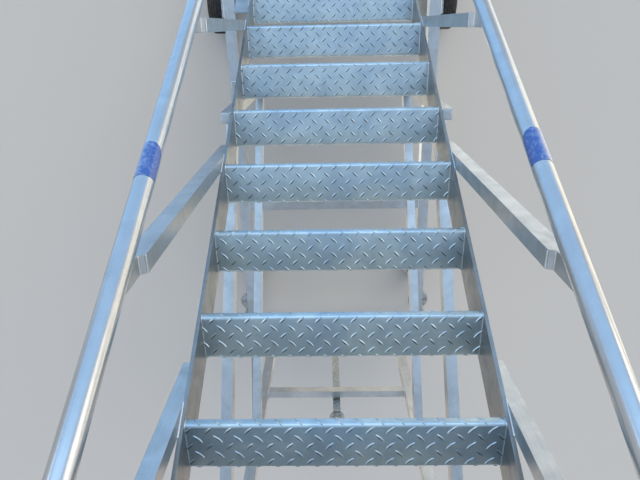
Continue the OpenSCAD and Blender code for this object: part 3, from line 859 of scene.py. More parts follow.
def lug_sheet(bm, lug, plate, phase, half, low, high):
    """A flat field of lugs, cut square at the sheet's edges."""
    pitch = plate.lug_pitch
    for turn, shift in ((math.pi / 4, 0.0), (-math.pi / 4, pitch / 2)):
        start_x, start_y = phase[0] + shift, phase[1] + shift
        columns = range(math.floor((-half - start_x) / pitch), math.ceil((half - start_x) / pitch) + 1)
        rows = range(math.floor((low - start_y) / pitch), math.ceil((high - start_y) / pitch) + 1)
        for column in columns:
            for row in rows:
                at = Vector((start_x + column * pitch, start_y + row * pitch, 0.0))
                if abs(at.x) > half + LUG_REACH or not low - LUG_REACH < at.y < high + LUG_REACH:
                    continue
                copy = lug.copy()
                copy.transform(Matrix.Translation(at) @ Matrix.Rotation(turn, 4, "Z"))
                bm.from_mesh(copy)
                bpy.data.meshes.remove(copy)
    for at, way in (((-half, 0, 0), (-1, 0, 0)), ((half, 0, 0), (1, 0, 0)), ((0, low, 0), (0, -1, 0)),
                    ((0, high, 0), (0, 1, 0))):
        bmesh.ops.bisect_plane(bm, geom=bm.verts[:] + bm.edges[:] + bm.faces[:], dist=SAME,
                               plane_co=at, plane_no=way, clear_outer=True)
        fill_holes(bm)


# Where a lug lies on each tread, from the lowest up: across and behind the nose, in metres
TREAD_PHASES = ((-0.3330, 0.0440), (-0.3090, 0.0300), (-0.3019, 0.0318), (-0.3488, 0.0360), (-0.3019, 0.0480),
                (-0.3144, 0.0419), (-0.3175, 0.0350), (-0.3456, 0.0275), (-0.3206, 0.0356), (-0.3413, 0.0406))


class STAIRS_OT_tread_lugs(bpy.types.Operator):
    """Raises the tear-plate lugs on the ten treads, over both folds and cut at the stringers"""
    bl_idname = "stairs.tread_lugs"
    bl_label = "Tread Lugs"

    def execute(self, context):
        plate = context.scene.stairs_plate
        lug = lug_shape(plate)
        bm = bmesh.new()
        for step, phase in enumerate(TREAD_PHASES, 1):
            first = len(bm.verts)
            flat = bmesh.new()
            lug_sheet(flat, lug, plate, phase, HALF_WIDTH - TREAD_GAP, -OVER_FOLD, TREAD_DEPTH + OVER_FOLD)
            grime_and_shade = flat.verts.layers.float["grime_and_shade"]
            # The lugs run the photograph's way, which is towards -X
            for vert in flat.verts:
                # The folds keep only a share of the lugs' grime and painted shade
                if not FOLD_R < vert.co.y < TREAD_DEPTH - FOLD_R:
                    vert[grime_and_shade] *= FOLD_GRIME_AND_SHADE
                vert.co = on_sheet(nose(step), -vert.co.x, vert.co.y, vert.co.z, TREAD_DEPTH)
            join(bm, flat)
            if len(bm.verts) == first:
                raise RuntimeError("a tread came out without lugs")
        piece(bm, "tread_lugs", "tear", "frame", 50.0)
        bpy.data.meshes.remove(lug)
        return {"FINISHED"}


class STAIRS_OT_deck_lugs(bpy.types.Operator):
    """Raises the tear-plate lugs on the landing's deck and over its nose"""
    bl_idname = "stairs.deck_lugs"
    bl_label = "Deck Lugs"

    def execute(self, context):
        plate = context.scene.stairs_plate
        lug = lug_shape(plate)
        front = Vector((0.0, DECK[0].y, DECK[1].z))
        bm = bmesh.new()
        deep = DECK[1].y - DECK[0].y - 0.001
        lug_sheet(bm, lug, plate, (-0.3300, 0.0300), HALF_WIDTH - DECK_GAP, -OVER_FOLD, deep)
        grime_and_shade = bm.verts.layers.float["grime_and_shade"]
        for vert in bm.verts:
            # The nose's fold keeps only a share of the lugs' grime and painted shade
            if vert.co.y < FOLD_R:
                vert[grime_and_shade] *= FOLD_GRIME_AND_SHADE
            vert.co = on_sheet(front, -vert.co.x, vert.co.y, vert.co.z)
        piece(bm, "deck_lugs", "tear", "frame", 50.0)
        bpy.data.meshes.remove(lug)
        return {"FINISHED"}


# Welds

class STAIRS_OT_flight_welds(bpy.types.Operator):
    """Lays the weld beads at the ends of the treads and of the side bracket"""
    bl_idname = "stairs.flight_welds"
    bl_label = "Flight Welds"

    def execute(self, context):
        size = context.scene.stairs_welds.tread_bead
        bm = bmesh.new()
        # Each bead follows the tread's section from its rear fold, over the nose and down the front lip
        gap = 0.003
        count = int((TREAD_DEPTH + 0.016) / gap)
        for step in range(1, TREAD_COUNT + 1):
            for side in (-1, 1):
                path = [on_sheet(nose(step), side * HALF_WIDTH, TREAD_DEPTH - 0.004 - gap * i, 0.0)
                        for i in range(count)]
                bead(bm, path, size, TREAD_RIPPLE)
        low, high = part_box("side_bracket")
        bead(bm, [(OUTER, high.y - 0.006, high.z - 0.004), (OUTER, low.y, low.z + 0.006)], size, TREAD_RIPPLE)
        piece(bm, "flight_welds", "weld", "frame", 60.0)
        return {"FINISHED"}


def post_corners(side, step):
    """The near and far faces, the inner side and the foot and head heights of a handrail post."""
    at = nose(step)
    front = at.y - POST_LEAD
    return front, front + POST_W, side * OUTER, at.z - POST_DROP, at.z + POST_HEIGHT


def rail_sag(off):
    """How far a handrail's surface lies below its centre line, at a distance to its side."""
    return math.sqrt(RAIL_R ** 2 - off ** 2)


def under_rail(side, x, y):
    """A point of the handrail's underside at a place across and along it."""
    return Vector((x, y, rail_point(side, y).z - rail_sag(abs(x) - RAIL_X) / math.cos(SLOPE)))


class STAIRS_OT_post_welds(bpy.types.Operator):
    """Lays the weld beads round the handrail posts: foot, stringer edge, stepped head and rail saddle"""
    bl_idname = "stairs.post_welds"
    bl_label = "Post Welds"

    def execute(self, context):
        size = context.scene.stairs_welds.post_bead
        bm = bmesh.new()
        for side in (-1, 1):
            for step in POST_STEPS:
                front, back, inner, foot, head = post_corners(side, step)
                outer = inner + side * POST_W
                ends = (front + 0.001, back - 0.001)
                cross_front = nose(step).z - POST_LEAD * math.tan(SLOPE)
                cross_back = nose(step).z + (POST_W - POST_LEAD) * math.tan(SLOPE)
                # Along the stringer's upper edge, and down the stringer beside the front and back faces
                bead(bm, [(inner, front, cross_front), (inner, back, cross_back)], size * 1.15)
                bead_up(bm, inner, front, cross_front, foot, size)
                bead_up(bm, inner, back, cross_back - 0.010, foot, size)
                # Two short beads on the stepped head, from front to back
                jog = inner + side * JOG_X
                bead_along(bm, inner + side * 0.0005, *ends, head, size, HEAD_RIPPLE)
                bead_along(bm, jog, *ends, head + JOG_Z, size, HEAD_RIPPLE)
                # The saddle under the handrail
                far = side * (RAIL_X + RAIL_R - 0.0010)
                saddle = [under_rail(side, jog + (far - jog) * i / 8, front) for i in range(9)]
                saddle += [under_rail(side, far, front + POST_W * i / 4) for i in range(1, 5)]
                saddle += [under_rail(side, far + (jog - far) * i / 8, back) for i in range(1, 9)]
                saddle += [under_rail(side, jog, back - POST_W * i / 4) for i in range(1, 5)]
                bead(bm, saddle, size * 0.9)
                # The step's outer weld, on the far side of the head
                bead_along(bm, outer, *ends, head + 0.004, size * 0.7)
        piece(bm, "post_welds", "weld", "frame", 60.0)
        return {"FINISHED"}


# Films and plugs on the handrails

# How far a film's outline lies off its rail, and how thick the film is
FILM_LIFT = 0.00035
FILM_THICK = 0.00025


class STAIRS_OT_rail_films(bpy.types.Operator):
    """Wraps a plain blue film round each handrail, rounded at its lower end"""
    bl_idname = "stairs.rail_films"
    bl_label = "Rail Films"

    def execute(self, context):
        marks = context.scene.stairs_marks
        places = ((1, marks.right_place, "rail_film_right"), (-1, marks.left_place, "rail_film_left"))
        for side, place, name in places:
            bm = bmesh.new()
            bmesh.ops.create_grid(bm, x_segments=36, y_segments=36, size=0.5)
            wide = marks.film_width / 2
            centre = rail_point(side, place)
            for vert in bm.verts:
                across = vert.co.x * marks.film_width
                along = vert.co.y + 0.5
                round_end = wide - math.sqrt(max(wide * wide - across * across, 0.0))
                down = round_end + along * (marks.film_length - round_end)
                angle = across / RAIL_R
                out = math.cos(angle) * OFF_SLOPE + math.sin(angle) * ALONG_X
                vert.co = centre + DOWN_SLOPE * (marks.film_length / 2 - down) + out * (RAIL_R + FILM_LIFT)
            bmesh.ops.recalc_face_normals(bm, faces=bm.faces[:])
            bmesh.ops.solidify(bm, geom=bm.faces[:], thickness=FILM_THICK)
            piece(bm, name, "film", "frame", 50.0)
        return {"FINISHED"}


# Half the section of a rail's plug, as pairs of radius and height in millimetres
RAIL_PLUG = ((0, 4.5), (6, 4.3), (12, 3.6), (16.5, 2.2), (18.8, 0.6), (19, -1), (0, -1.2))


class STAIRS_OT_rail_plugs(bpy.types.Operator):
    """Closes the lower ends of the handrails with domed plugs"""
    bl_idname = "stairs.rail_plugs"
    bl_label = "Rail Plugs"

    def execute(self, context):
        bm = bmesh.new()
        for side in (-1, 1):
            turned(bm, RAIL_PLUG, rail_point(side, FIRST_NOSE_Y - GOING - 0.060), DOWN_SLOPE, 32)
        piece(bm, "rail_plugs", "plastic", "frame", 40.0)
        return {"FINISHED"}


class STAIRS_OT_landing_welds(bpy.types.Operator):
    """Lays the weld beads on the landing: guard posts, rails, toe boards, beams and legs"""
    bl_idname = "stairs.landing_welds"
    bl_label = "Landing Welds"

    def execute(self, context):
        size = context.scene.stairs_welds.post_bead
        frame_size = context.scene.stairs_welds.frame_bead
        top = DECK[1].z
        leg_low, leg_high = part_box("rear_legs")
        leg_y = leg_high.y - LEG_W / 2
        knee_z = middle("knee_rails").z
        knee_r = (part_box("knee_rails")[1].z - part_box("knee_rails")[0].z) / 2
        guard_z = RAIL[1].z - RAIL_R
        half = POST_W / 2
        bm = bmesh.new()
        for side in (-1, 1):
            for front in GUARD_FRONTS:
                back = front + POST_W
                x1, x2 = side * (RAIL_X - half), side * (RAIL_X + half)
                bead_box(bm, (x1, front, top), (x2, back, top), size)
                for x in (x1, x2):
                    bead_along(bm, x, front, back, guard_z - rail_sag(abs(x) - RAIL_X), size * 0.9)
                for y in (front, back):
                    saddle = arc(lambda _, sine: (side * RAIL_X + half * sine, y,
                                                  guard_z - rail_sag(half * sine)), -90, 90, 15)
                    bead(bm, saddle, size * 0.9)
            # Where the knee rails meet the guard posts
            first, second = GUARD_FRONTS
            for y, way in ((first + POST_W, 1), (second, -1), (second + POST_W, 1)):
                ring = ring_path((side * RAIL_X, y + way * 0.0005, knee_z), (0, way, 0), knee_r)
                bead(bm, ring, size * 0.9)
            # Where they meet the handrail's upright rear end, then that end's foot on the deck
            saddle = []
            for step in range(33):
                a = math.tau * step / 32
                x, z = knee_r * math.cos(a), knee_r * math.sin(a)
                saddle.append((side * RAIL_X + x, leg_y - rail_sag(x), knee_z + z))
            bead(bm, saddle, size * 0.9)
            bead(bm, ring_path((side * RAIL_X, leg_y, top), (0, 0, 1), RAIL_R), size)
            # Stitches along the foot of the toe board
            for start in (0.05, 0.30, 0.53, 0.80):
                y = DECK[0].y + start
                bead_along(bm, side * OUTER, y, y + 0.045, top, size)
            # Side beam to stringer and deck, then the rear leg under the beam
            bead_up(bm, side * OUTER, BEAMS[0].y, BEAMS[0].z, top, frame_size)
            x1, x2 = side * (leg_high.x - LEG_W), side * leg_high.x
            bead_box(bm, (x1, leg_low.y, leg_high.z), (x2, leg_high.y, leg_high.z), frame_size, "xy")
            for y in (DECK[0].y + 0.060, DECK[0].y + 0.100):
                bead_up(bm, side * HALF_WIDTH, y, BEAMS[0].z, top - 0.006, size)
            middle_y = (DECK[0].y + DECK[1].y) / 2
            for y in (middle_y - 0.020, middle_y + 0.020, DECK[1].y - 0.050):
                bead_up(bm, side * OUTER, y, BEAMS[0].z, top - 0.006, size)
        piece(bm, "landing_welds", "weld", "frame", 60.0)
        return {"FINISHED"}


class STAIRS_OT_base_welds(bpy.types.Operator):
    """Lays the weld beads on the base: rails, cross tubes, legs, braces, struts and brackets"""
    bl_idname = "stairs.base_welds"
    bl_label = "Base Welds"

    def execute(self, context):
        size = context.scene.stairs_welds.frame_bead
        low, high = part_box("base_rail_right")
        inner, outer, top = low.x, high.x, high.z
        # The front faces of the four cross tubes
        cross = (FIRST_NOSE_Y + 0.134, FIRST_NOSE_Y - GOING + 0.850, DECK[0].y + 0.005, DECK[1].y - CROSS_W)
        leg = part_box("rear_legs")
        leg_x = leg[1].x - LEG_W
        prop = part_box("flight_props")
        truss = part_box("side_diagonals")
        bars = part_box("rear_cross_bars")
        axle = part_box("axle_brackets")
        bm = bmesh.new()
        for side in (-1, 1):
            for y in cross:
                for edge in (y, y + CROSS_W):
                    bead_up(bm, side * inner, edge, low.z, top, size, FRAME_RIPPLE)
                bead_along(bm, side * inner, y, y + CROSS_W, top, size, FRAME_RIPPLE)
            # Rear legs and flight props stand on the cross tubes
            for x, post in ((leg_x, leg), (OUTER, prop)):
                bead_box(bm, (side * x, post[0].y, top), (side * post[1].x, post[1].y, top), size,
                         ripple=FRAME_RIPPLE)
            # The props' heads on the stringers
            bead_up(bm, side * OUTER, prop[0].y, prop[1].z - 0.10, prop[1].z, size)
            bead_along(bm, side * OUTER, prop[0].y, prop[1].y, prop[1].z, size)
            # Side diagonals between prop and leg: height of a bay, rise of a diagonal and depth of its ends
            bay, rise, deep = 0.900, 0.940, 0.056
            for foot in (truss[0].z, truss[0].z + bay):
                for x in (side * leg_x, side * (leg[1].x - 0.010)):
                    bead_up(bm, x, leg[0].y, foot + rise, foot + rise + deep, size, FRAME_RIPPLE)
                    if foot + deep < prop[1].z:
                        bead_up(bm, x, prop[1].y, foot, foot + deep, size, FRAME_RIPPLE)
            for z in (bars[0].z, bars[1].z - BAR_W):
                for y in (bars[0].y, bars[1].y):
                    bead_up(bm, side * leg_x, y, z, z + BAR_W, size)
                for height in (z, z + BAR_W):
                    bead_along(bm, side * leg_x, bars[0].y, bars[1].y, height, size)
            # Outrigger struts: foot on the base, head on the leg or prop
            near, far = side * (inner + 0.002), side * (inner + 0.048)
            for head_x, y1, y2, z1, z2 in ((leg[1].x, leg[0].y + 0.005, leg[0].y + 0.045, 0.820, 0.980),
                                           (prop[1].x, prop[0].y, prop[1].y, 0.560, 0.700)):
                for y in (y1, y2):
                    bead_up(bm, side * head_x, y, top + z1, top + z2, size, FRAME_RIPPLE)
                    bead(bm, [(near, y, top), (far, y, top)], size, FRAME_RIPPLE)
                bead_along(bm, far, y1, y2, top, size, FRAME_RIPPLE)
            # Axle plates and jack brackets on the outer faces
            middle_y = (axle[0].y + axle[1].y) / 2
            ends = (middle_y - 0.070, middle_y + 0.070)
            for y in ends:
                bead_up(bm, side * outer, y, low.z, top, size, FRAME_RIPPLE)
            bead_along(bm, side * outer, *ends, top, size, FRAME_RIPPLE)
            for name in ("jack_front_right", "jack_rear_right"):
                at = middle(name)
                for y in (at.y - 0.012, at.y + 0.012):
                    bead_up(bm, side * outer, y, low.z, top, size, FRAME_RIPPLE)
                    bead_up(bm, side * (at.x - 0.0255), y, low.z, top, size, FRAME_RIPPLE)
        # Hinge ears of the tow bar
        face_y, hinge_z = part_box("tow_ears")[0].y, middle("tow_ears").z
        for x in (-0.042, -0.030, 0.030, 0.042):
            bead_up(bm, x, face_y, hinge_z - 0.030, hinge_z + 0.030, size * 0.8)
        piece(bm, "base_welds", "weld", "frame", 60.0)
        return {"FINISHED"}


# Running gear

def cut_holes(part, cutters):
    """Cuts the shapes of a mesh out of a part and keeps the part's name, material and body."""
    mesh = new_mesh("cutters", cutters)
    tool = new_object("cutters", mesh)
    cut = part.modifiers.new("holes", "BOOLEAN")
    cut.operation = "DIFFERENCE"
    cut.solver = "EXACT"
    cut.object = tool
    bpy.context.view_layer.update()
    done = bpy.data.meshes.new_from_object(part.evaluated_get(bpy.context.evaluated_depsgraph_get()))
    if len(done.polygons) < 20:
        raise RuntimeError("cutting the holes left nothing of " + part.name)
    part.modifiers.clear()
    old = part.data
    part.data = done
    done.name = old.name
    bpy.data.meshes.remove(old)
    bpy.data.objects.remove(tool)
    bpy.data.meshes.remove(mesh)
    done.set_sharp_from_angle(angle=math.radians(32.0))


# Half a tyre's section, from the rim to its outer groove: radius and half width, in millimetres
TYRE = ((89, 27), (90, 31.8), (96, 34.5), (97.5, 37.2), (101, 37.8), (102.5, 39.2), (118, 39.8), (132, 39.6),
        (134.5, 38.8), (138, 38.5), (141, 37.2), (147, 33.5), (149, 29), (149.6, 18), (149.6, 15))
CROWN = 150
SHOULDER = 149.6


class STAIRS_OT_tyres(bpy.types.Operator):
    """Makes the two fixed wheels' tyres with bulged walls, ribs and shoulder blocks"""
    bl_idname = "stairs.tyres"
    bl_label = "Tyres"

    def execute(self, context):
        run = context.scene.stairs_running
        groove = run.groove * 1000
        half = [*TYRE, (SHOULDER - groove, 14), (SHOULDER - groove, 11.5), (CROWN, 10.5), (CROWN, 3),
                (CROWN - groove, 2)]
        profile = half + [(radius, -width) for radius, width in reversed(half)] + half[:1]
        for name in ("left", "right"):
            at = middle("wheel_tyre_" + name)
            own = lathe(profile, at, (1, 0, 0), run.tread_blocks * 3)
            bmesh.ops.recalc_face_normals(own, faces=own.faces[:])
            # Every third column of faces is sunk on each shoulder, one column further on the other shoulder
            gaps = []
            for face in own.faces:
                spot = face.calc_center_median() - at
                turn = math.atan2(spot.z, spot.y) / math.tau * run.tread_blocks
                column = int(math.floor(turn * 3 + 0.001)) % 3
                wide = abs(spot.x)
                if column == (0 if spot.x > 0 else 1) and (0.0180 < wide < 0.0290 or 0.0290 < wide < 0.0336):
                    gaps.append(face)
            sunk = bmesh.ops.extrude_face_region(own, geom=gaps)["geom"]
            bmesh.ops.delete(own, geom=gaps, context="FACES")
            for vert in verts_in(sunk):
                out = vert.co - at
                out.x = 0.0
                vert.co -= out.normalized() * run.groove * 0.9
            made = piece(own, "tyre_" + name, "tyre", "wheel_" + name, 35.0)
            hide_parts("wheel_tyre_" + name)
        return {"FINISHED"}


# A rim's closed section, from its outer edge round the dish and the hub: radius and height, in millimetres
RIM = ((88, 28), (93, 31.8), (95.5, 34.5), (94.8, 36.5), (92.5, 36.2), (89, 33), (85.5, 28), (83.5, 20),
       (82.5, 8), (79, 5), (70, 3.5), (60, 6), (52, 12), (46, 14), (33, 14), (30, 16), (29, 38), (27.5, 39.8),
       (15.2, 39.8), (15.2, -39.8), (27.5, -39.8), (29, -38), (29, 9), (33, 9.5), (46, 9.5), (52, 8), (60, 2),
       (70, -0.5), (79, 0.5), (83.5, -2), (83.5, -20), (85.5, -28), (89, -33), (92.5, -36.2), (94.8, -36.5),
       (95.5, -34.5), (93, -31.8), (88, -28), (88, 28))
HAND_HOLES = 5
HOLE_RING = 0.0665
NUTS = 5
NUT_RING = 0.0395


class STAIRS_OT_rims(bpy.types.Operator):
    """Makes the pressed steel rims with hand holes, a hub and five nuts each"""
    bl_idname = "stairs.rims"
    bl_label = "Rims"

    def execute(self, context):
        for side, name in ((-1, "left"), (1, "right")):
            at = middle("wheel_rim_" + name)
            out = Vector((side, 0.0, 0.0))
            bm = bmesh.new()
            turned(bm, RIM, at, out, 64)
            made = piece(bm, "rim_" + name, "zinc", "wheel_" + name)
            cutters = bmesh.new()
            for hole in range(HAND_HOLES):
                a = math.tau * (hole + 0.5) / HAND_HOLES
                spot = at + Vector((0.0, HOLE_RING * math.cos(a), HOLE_RING * math.sin(a)))
                rod(cutters, spot - out * 0.012, spot + out * 0.030, 0.0095, steps=20)
            cut_holes(made, cutters)
            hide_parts("wheel_rim_" + name)
            bm = bmesh.new()
            for nut in range(NUTS):
                a = math.tau * nut / NUTS
                spot = at + Vector((0.0, NUT_RING * math.cos(a), NUT_RING * math.sin(a))) + out * 0.0138
                bolt(bm, spot, out, 0.013)
            # The valve stem leans in towards the axle
            spot = at + Vector((0.0, 0.0, 0.0800)) + out * 0.006
            tip = spot + out * 0.020 - Vector((0.0, 0.0, 0.004))
            rod(bm, spot, tip, 0.0035, 0.0028, steps=14, edge=0.0006)
            piece(bm, "wheel_nuts_" + name, "fastener", "wheel_" + name)
        return {"FINISHED"}


# Sections of the castors' ball races and of their wheels' webs: radius and height, in millimetres
FIXED_RACE = ((33.5, 0), (35, -2), (35, -6), (33.5, -8), (31.8, -8), (31.8, 0), (33.5, 0))
TURNING_RACE = ((30, 0), (36, 0), (36, 3), (34.5, 4.5), (30, 4.5), (30, 0))
WEB = ((9.5, 18.5), (23, 18.5), (25, 20.5), (30, 21.5), (33, 20.5), (34.5, 18.7), (66, 18.7), (69, 21.5),
       (71.5, 21.5), (72.2, 19), (72.2, 15), (9.5, 15), (9.5, 18.5))
CASTOR_RIBS = 6


class STAIRS_OT_castors(bpy.types.Operator):
    """Adds the castors' plate bolts, ball races, king nuts, axle nuts and ribbed wheel webs"""
    bl_idname = "stairs.castors"
    bl_label = "Castor Fittings"

    def execute(self, context):
        fixed = bmesh.new()
        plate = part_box("castor_plates")
        for name in ("left", "right"):
            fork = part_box("castor_fork_" + name)
            hub = middle("castor_hub_" + name)
            king = Vector((hub.x, (plate[0].y + plate[1].y) / 2, plate[1].z))
            for x in (-0.036, 0.036):
                for y in (-0.045, 0.045):
                    bolt(fixed, king + Vector((x, y, -0.008)), (0, 0, -1), 0.013)
            turned(fixed, FIXED_RACE, king + Vector((0, 0, -0.008)), (0, 0, 1), 40)
            bolt(fixed, king + Vector((0, 0, -0.048)), (0, 0, -1), 0.020)
            swivel = bmesh.new()
            turned(swivel, TURNING_RACE, (king.x, king.y, fork[1].z), (0, 0, 1), 40)
            for out in (-1, 1):
                bolt(swivel, (king.x + out * 0.0438, hub.y, hub.z), (out, 0, 0), 0.016)
            piece(swivel, "castor_swivel_fittings_" + name, "fastener", "castor_" + name)
            rolling = bmesh.new()
            size = Vector((0.0022, 0.0175, 0.0022))
            for out in (-1, 1):
                turned(rolling, WEB, hub, (out, 0, 0), 48)
                for rib in range(CASTOR_RIBS):
                    a = math.tau * rib / CASTOR_RIBS
                    spot = hub + Vector((out * 0.0185, 0.0500 * math.cos(a), 0.0500 * math.sin(a)))
                    block(rolling, spot - size, spot + size, 0.0008, Matrix.Rotation(a, 4, "X"))
            piece(rolling, "castor_wheel_web_" + name, "zinc", "castor_wheel_" + name)
        piece(fixed, "castor_plate_bolts", "fastener", "frame")
        return {"FINISHED"}


def screw(bm, at, start, end, pitch):
    """Cuts a square thread between two heights: one turn is spun with its lift, then stacked."""
    steps = 16
    crest, root = 0.0180, 0.0158
    turn = bmesh.new()
    section = ((crest, 0.0), (crest, 0.36), (root, 0.52), (root, 0.84), (crest, 1.0))
    verts, edges = chain(turn, [(radius, 0.0, part * pitch) for radius, part in section])
    bmesh.ops.spin(turn, geom=verts + edges, cent=(0, 0, 0), axis=(0, 0, 1), dvec=(0, 0, pitch / steps),
                   angle=math.tau, steps=steps, use_merge=False)
    mesh = new_mesh("turn", turn)
    own = bmesh.new()
    for count in range(int((end - start) / pitch)):
        copy = mesh.copy()
        copy.transform(Matrix.Translation(at + Vector((0.0, 0.0, start + count * pitch))))
        own.from_mesh(copy)
        bpy.data.meshes.remove(copy)
    bpy.data.meshes.remove(mesh)
    bmesh.ops.remove_doubles(own, verts=own.verts[:], dist=2e-5)
    fill_holes(own)
    join(bm, own)


# Sections of a jack's foot, its head and the knobs of its bar: radius and height, in millimetres
JACK_FOOT = ((0, 0), (65, 0), (69, 1.5), (70, 4), (69, 7.5), (66, 9.5), (40, 10), (35, 12), (32, 19),
             (28, 26), (23.5, 30), (17.5, 31.5), (16, 34), (0, 34))
JACK_HEAD = ((0, 542), (17.2, 542), (18, 543.5), (18, 576), (16, 579), (0, 580))
JACK_KNOB = ((0, 90), (5, 89.4), (9.5, 86.5), (12, 82), (12.2, 77), (10.5, 72.5), (8.5, 70), (0, 69.5))
JACK_RIBS = 6
THREAD_FROM, THREAD_TO = 0.0340, 0.5440
JACK_BAR_Z = 0.5600


class STAIRS_OT_jacks(bpy.types.Operator):
    """Makes the four screw jacks: ribbed foot, cut thread, head and turning bar with knobs"""
    bl_idname = "stairs.jacks"
    bl_label = "Screw Jacks"

    def execute(self, context):
        pitch = context.scene.stairs_running.thread_pitch
        for name in ("front_left", "rear_left", "front_right", "rear_right"):
            low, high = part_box("jack_" + name)
            at = Vector(((low.x + high.x) / 2, (low.y + high.y) / 2, 0.0))
            bm = bmesh.new()
            turned(bm, JACK_FOOT, at, (0, 0, 1), 56)
            size = Vector((0.0160, 0.0025, 0.0050))
            for rib in range(JACK_RIBS):
                a = math.tau * rib / JACK_RIBS
                spot = at + Vector((0.0460 * math.cos(a), 0.0460 * math.sin(a), 0.0125))
                block(bm, spot - size, spot + size, 0.0010, Matrix.Rotation(a, 4, "Z"))
            screw(bm, at, THREAD_FROM, THREAD_TO, pitch)
            turned(bm, JACK_HEAD, at, (0, 0, 1), 32)
            bar = at + Vector((0.0, 0.0, JACK_BAR_Z))
            reach = Vector((0.0780, 0.0, 0.0))
            rod(bm, bar - reach, bar + reach, 0.0075, steps=20)
            for out in (-1, 1):
                turned(bm, JACK_KNOB, bar, (out, 0, 0), 24)
            made = piece(bm, "screw_jack_" + name, "zinc", "jack_" + name, 40.0)
            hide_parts("jack_" + name)
        return {"FINISHED"}


# Fittings

# A cap lies this far in from a tube's sides, stands this far past its end and reaches this far into it
CAP_INSET = 0.002
CAP_PROUD = 0.003
CAP_SUNK = 0.001


def end_cap(bm, low, high, axis, way, lift=0.0025):
    """Caps one end of the tube between two corners: a thin plate whose face is set in and raised."""
    sides = [sorted(pair) for pair in zip(low, high)]
    end = sides[axis][1] if way > 0 else sides[axis][0]
    sides = [(first + CAP_INSET, last - CAP_INSET) for first, last in sides]
    sides[axis] = sorted((end - way * CAP_SUNK, end + way * CAP_PROUD))
    low, high = (Vector(corner) for corner in zip(*sides))
    own = bmesh.new()
    size = Matrix.Diagonal((*(high - low), 1.0))
    bmesh.ops.create_cube(own, size=1.0, matrix=Matrix.Translation((low + high) / 2) @ size)
    front = max(own.faces, key=lambda face: face.calc_center_median()[axis] * way)
    bmesh.ops.inset_region(own, faces=[front], thickness=0.0060, depth=lift)
    ease(own, own.edges[:], 0.0008)
    join(bm, own)


class STAIRS_OT_tube_caps(bpy.types.Operator):
    """Closes the open ends of the box tubes with moulded caps, and the props' tops with plates"""
    bl_idname = "stairs.tube_caps"
    bl_label = "Tube Caps"

    def execute(self, context):
        bm, plates = bmesh.new(), bmesh.new()
        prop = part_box("flight_props")
        for name in ("base_rail_left", "base_rail_right"):
            for way in (-1, 1):
                end_cap(bm, *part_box(name), 1, way)
        for side in (-1, 1):
            end_cap(bm, (side * OUTER, *BEAMS[0].yz), (side * BEAMS[1].x, *BEAMS[1].yz), 1, -1)
            end_cap(plates, (side * OUTER, *prop[0].yz), (side * prop[1].x, *prop[1].yz), 2, 1, 0.0010)
            for step in POST_STEPS:
                front, back, inner, foot, head = post_corners(side, step)
                end_cap(bm, (inner, front, foot), (inner + side * POST_W, back, head), 2, -1, 0.0020)
        piece(bm, "tube_caps", "plastic", "frame", 40.0)
        piece(plates, "prop_end_plates", "cross", "frame", 40.0)
        return {"FINISHED"}


# Sections of an axle nut's dome and of the tow pin's head: radius and height, in millimetres
AXLE_DOME = ((0, 11), (6, 10.8), (11, 9.5), (13, 6), (13, 5), (0, 5))
TOW_PIN_HEAD = ((0, 42.5), (17, 42.5), (17.5, 43.5), (17.5, 45), (16.5, 46), (0, 46))


def split_pin(bm, at, half, radius):
    """A small upright pin through an axle or a bolt."""
    reach = Vector((0.0, 0.0, half))
    rod(bm, at - reach, at + reach, radius, steps=10)


class STAIRS_OT_axle_fittings(bpy.types.Operator):
    """Adds the axle nuts with their split pins outside the fixed wheels"""
    bl_idname = "stairs.axle_fittings"
    bl_label = "Axle Fittings"

    def execute(self, context):
        bm = bmesh.new()
        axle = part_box("axle_brackets")
        wheel = middle("wheel_tyre_right")
        for side in (-1, 1):
            at = Vector((side * axle[1].x, wheel.y, wheel.z))
            out = Vector((side, 0.0, 0.0))
            rod(bm, at - out * 0.0005, at + out * 0.0065, 0.0190, steps=6, edge=0.0012)
            turned(bm, AXLE_DOME, at, out, 24)
            split_pin(bm, at + out * 0.0082, 0.0170, 0.0014)
        piece(bm, "axle_nuts", "fastener", "frame")
        return {"FINISHED"}


class STAIRS_OT_tow_fittings(bpy.types.Operator):
    """Adds the tow bar's pin heads and split pins, and the beads at its hinge and round its eye"""
    bl_idname = "stairs.tow_fittings"
    bl_label = "Tow Bar Fittings"

    def execute(self, context):
        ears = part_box("tow_ears")
        at = Vector((0.0, ears[1].y - 0.020, (ears[0].z + ears[1].z) / 2))
        bm = bmesh.new()
        for out in (-1, 1):
            turned(bm, TOW_PIN_HEAD, at, (out, 0, 0), 32)
            split_pin(bm, at + Vector((out * 0.0485, 0.0, 0.0)), 0.0160, 0.0018)
        piece(bm, "tow_pin_fittings", "fastener", "frame")
        bm = bmesh.new()
        size = 0.0026
        centre_y = at.y - 0.008
        foot = at.z + 0.0235
        for x in (-0.020, 0.020):
            bead(bm, [(x, centre_y - 0.016, foot - 0.004), (x, centre_y + 0.008, foot),
                      (x, centre_y + 0.018, foot - 0.006)], size)
        # Round the eye at the bar's end
        eye_z, eye_r = at.z + 0.850, 0.0392
        for y in (centre_y - 0.014, centre_y + 0.014):
            bead(bm, arc(lambda cosine, sine: (eye_r * sine, y, eye_z - eye_r * cosine), -30, 30, 6), size)
        piece(bm, "tow_bar_welds", "weld", "tow_bar", 60.0)
        return {"FINISHED"}


# Sections of the gate bar's plug and of its pin's heads: radius and height, in millimetres
GATE_PLUG = ((0, 4.5), (8, 4), (13, 2.5), (15, 0.4), (15, -1), (0, -1))
GATE_PIN_HEAD = ((0, 4), (10, 3.8), (11.8, 2.6), (12, 0), (0, 0))
GATE_PIN_X = -0.360
GATE_BEAD = 0.0018


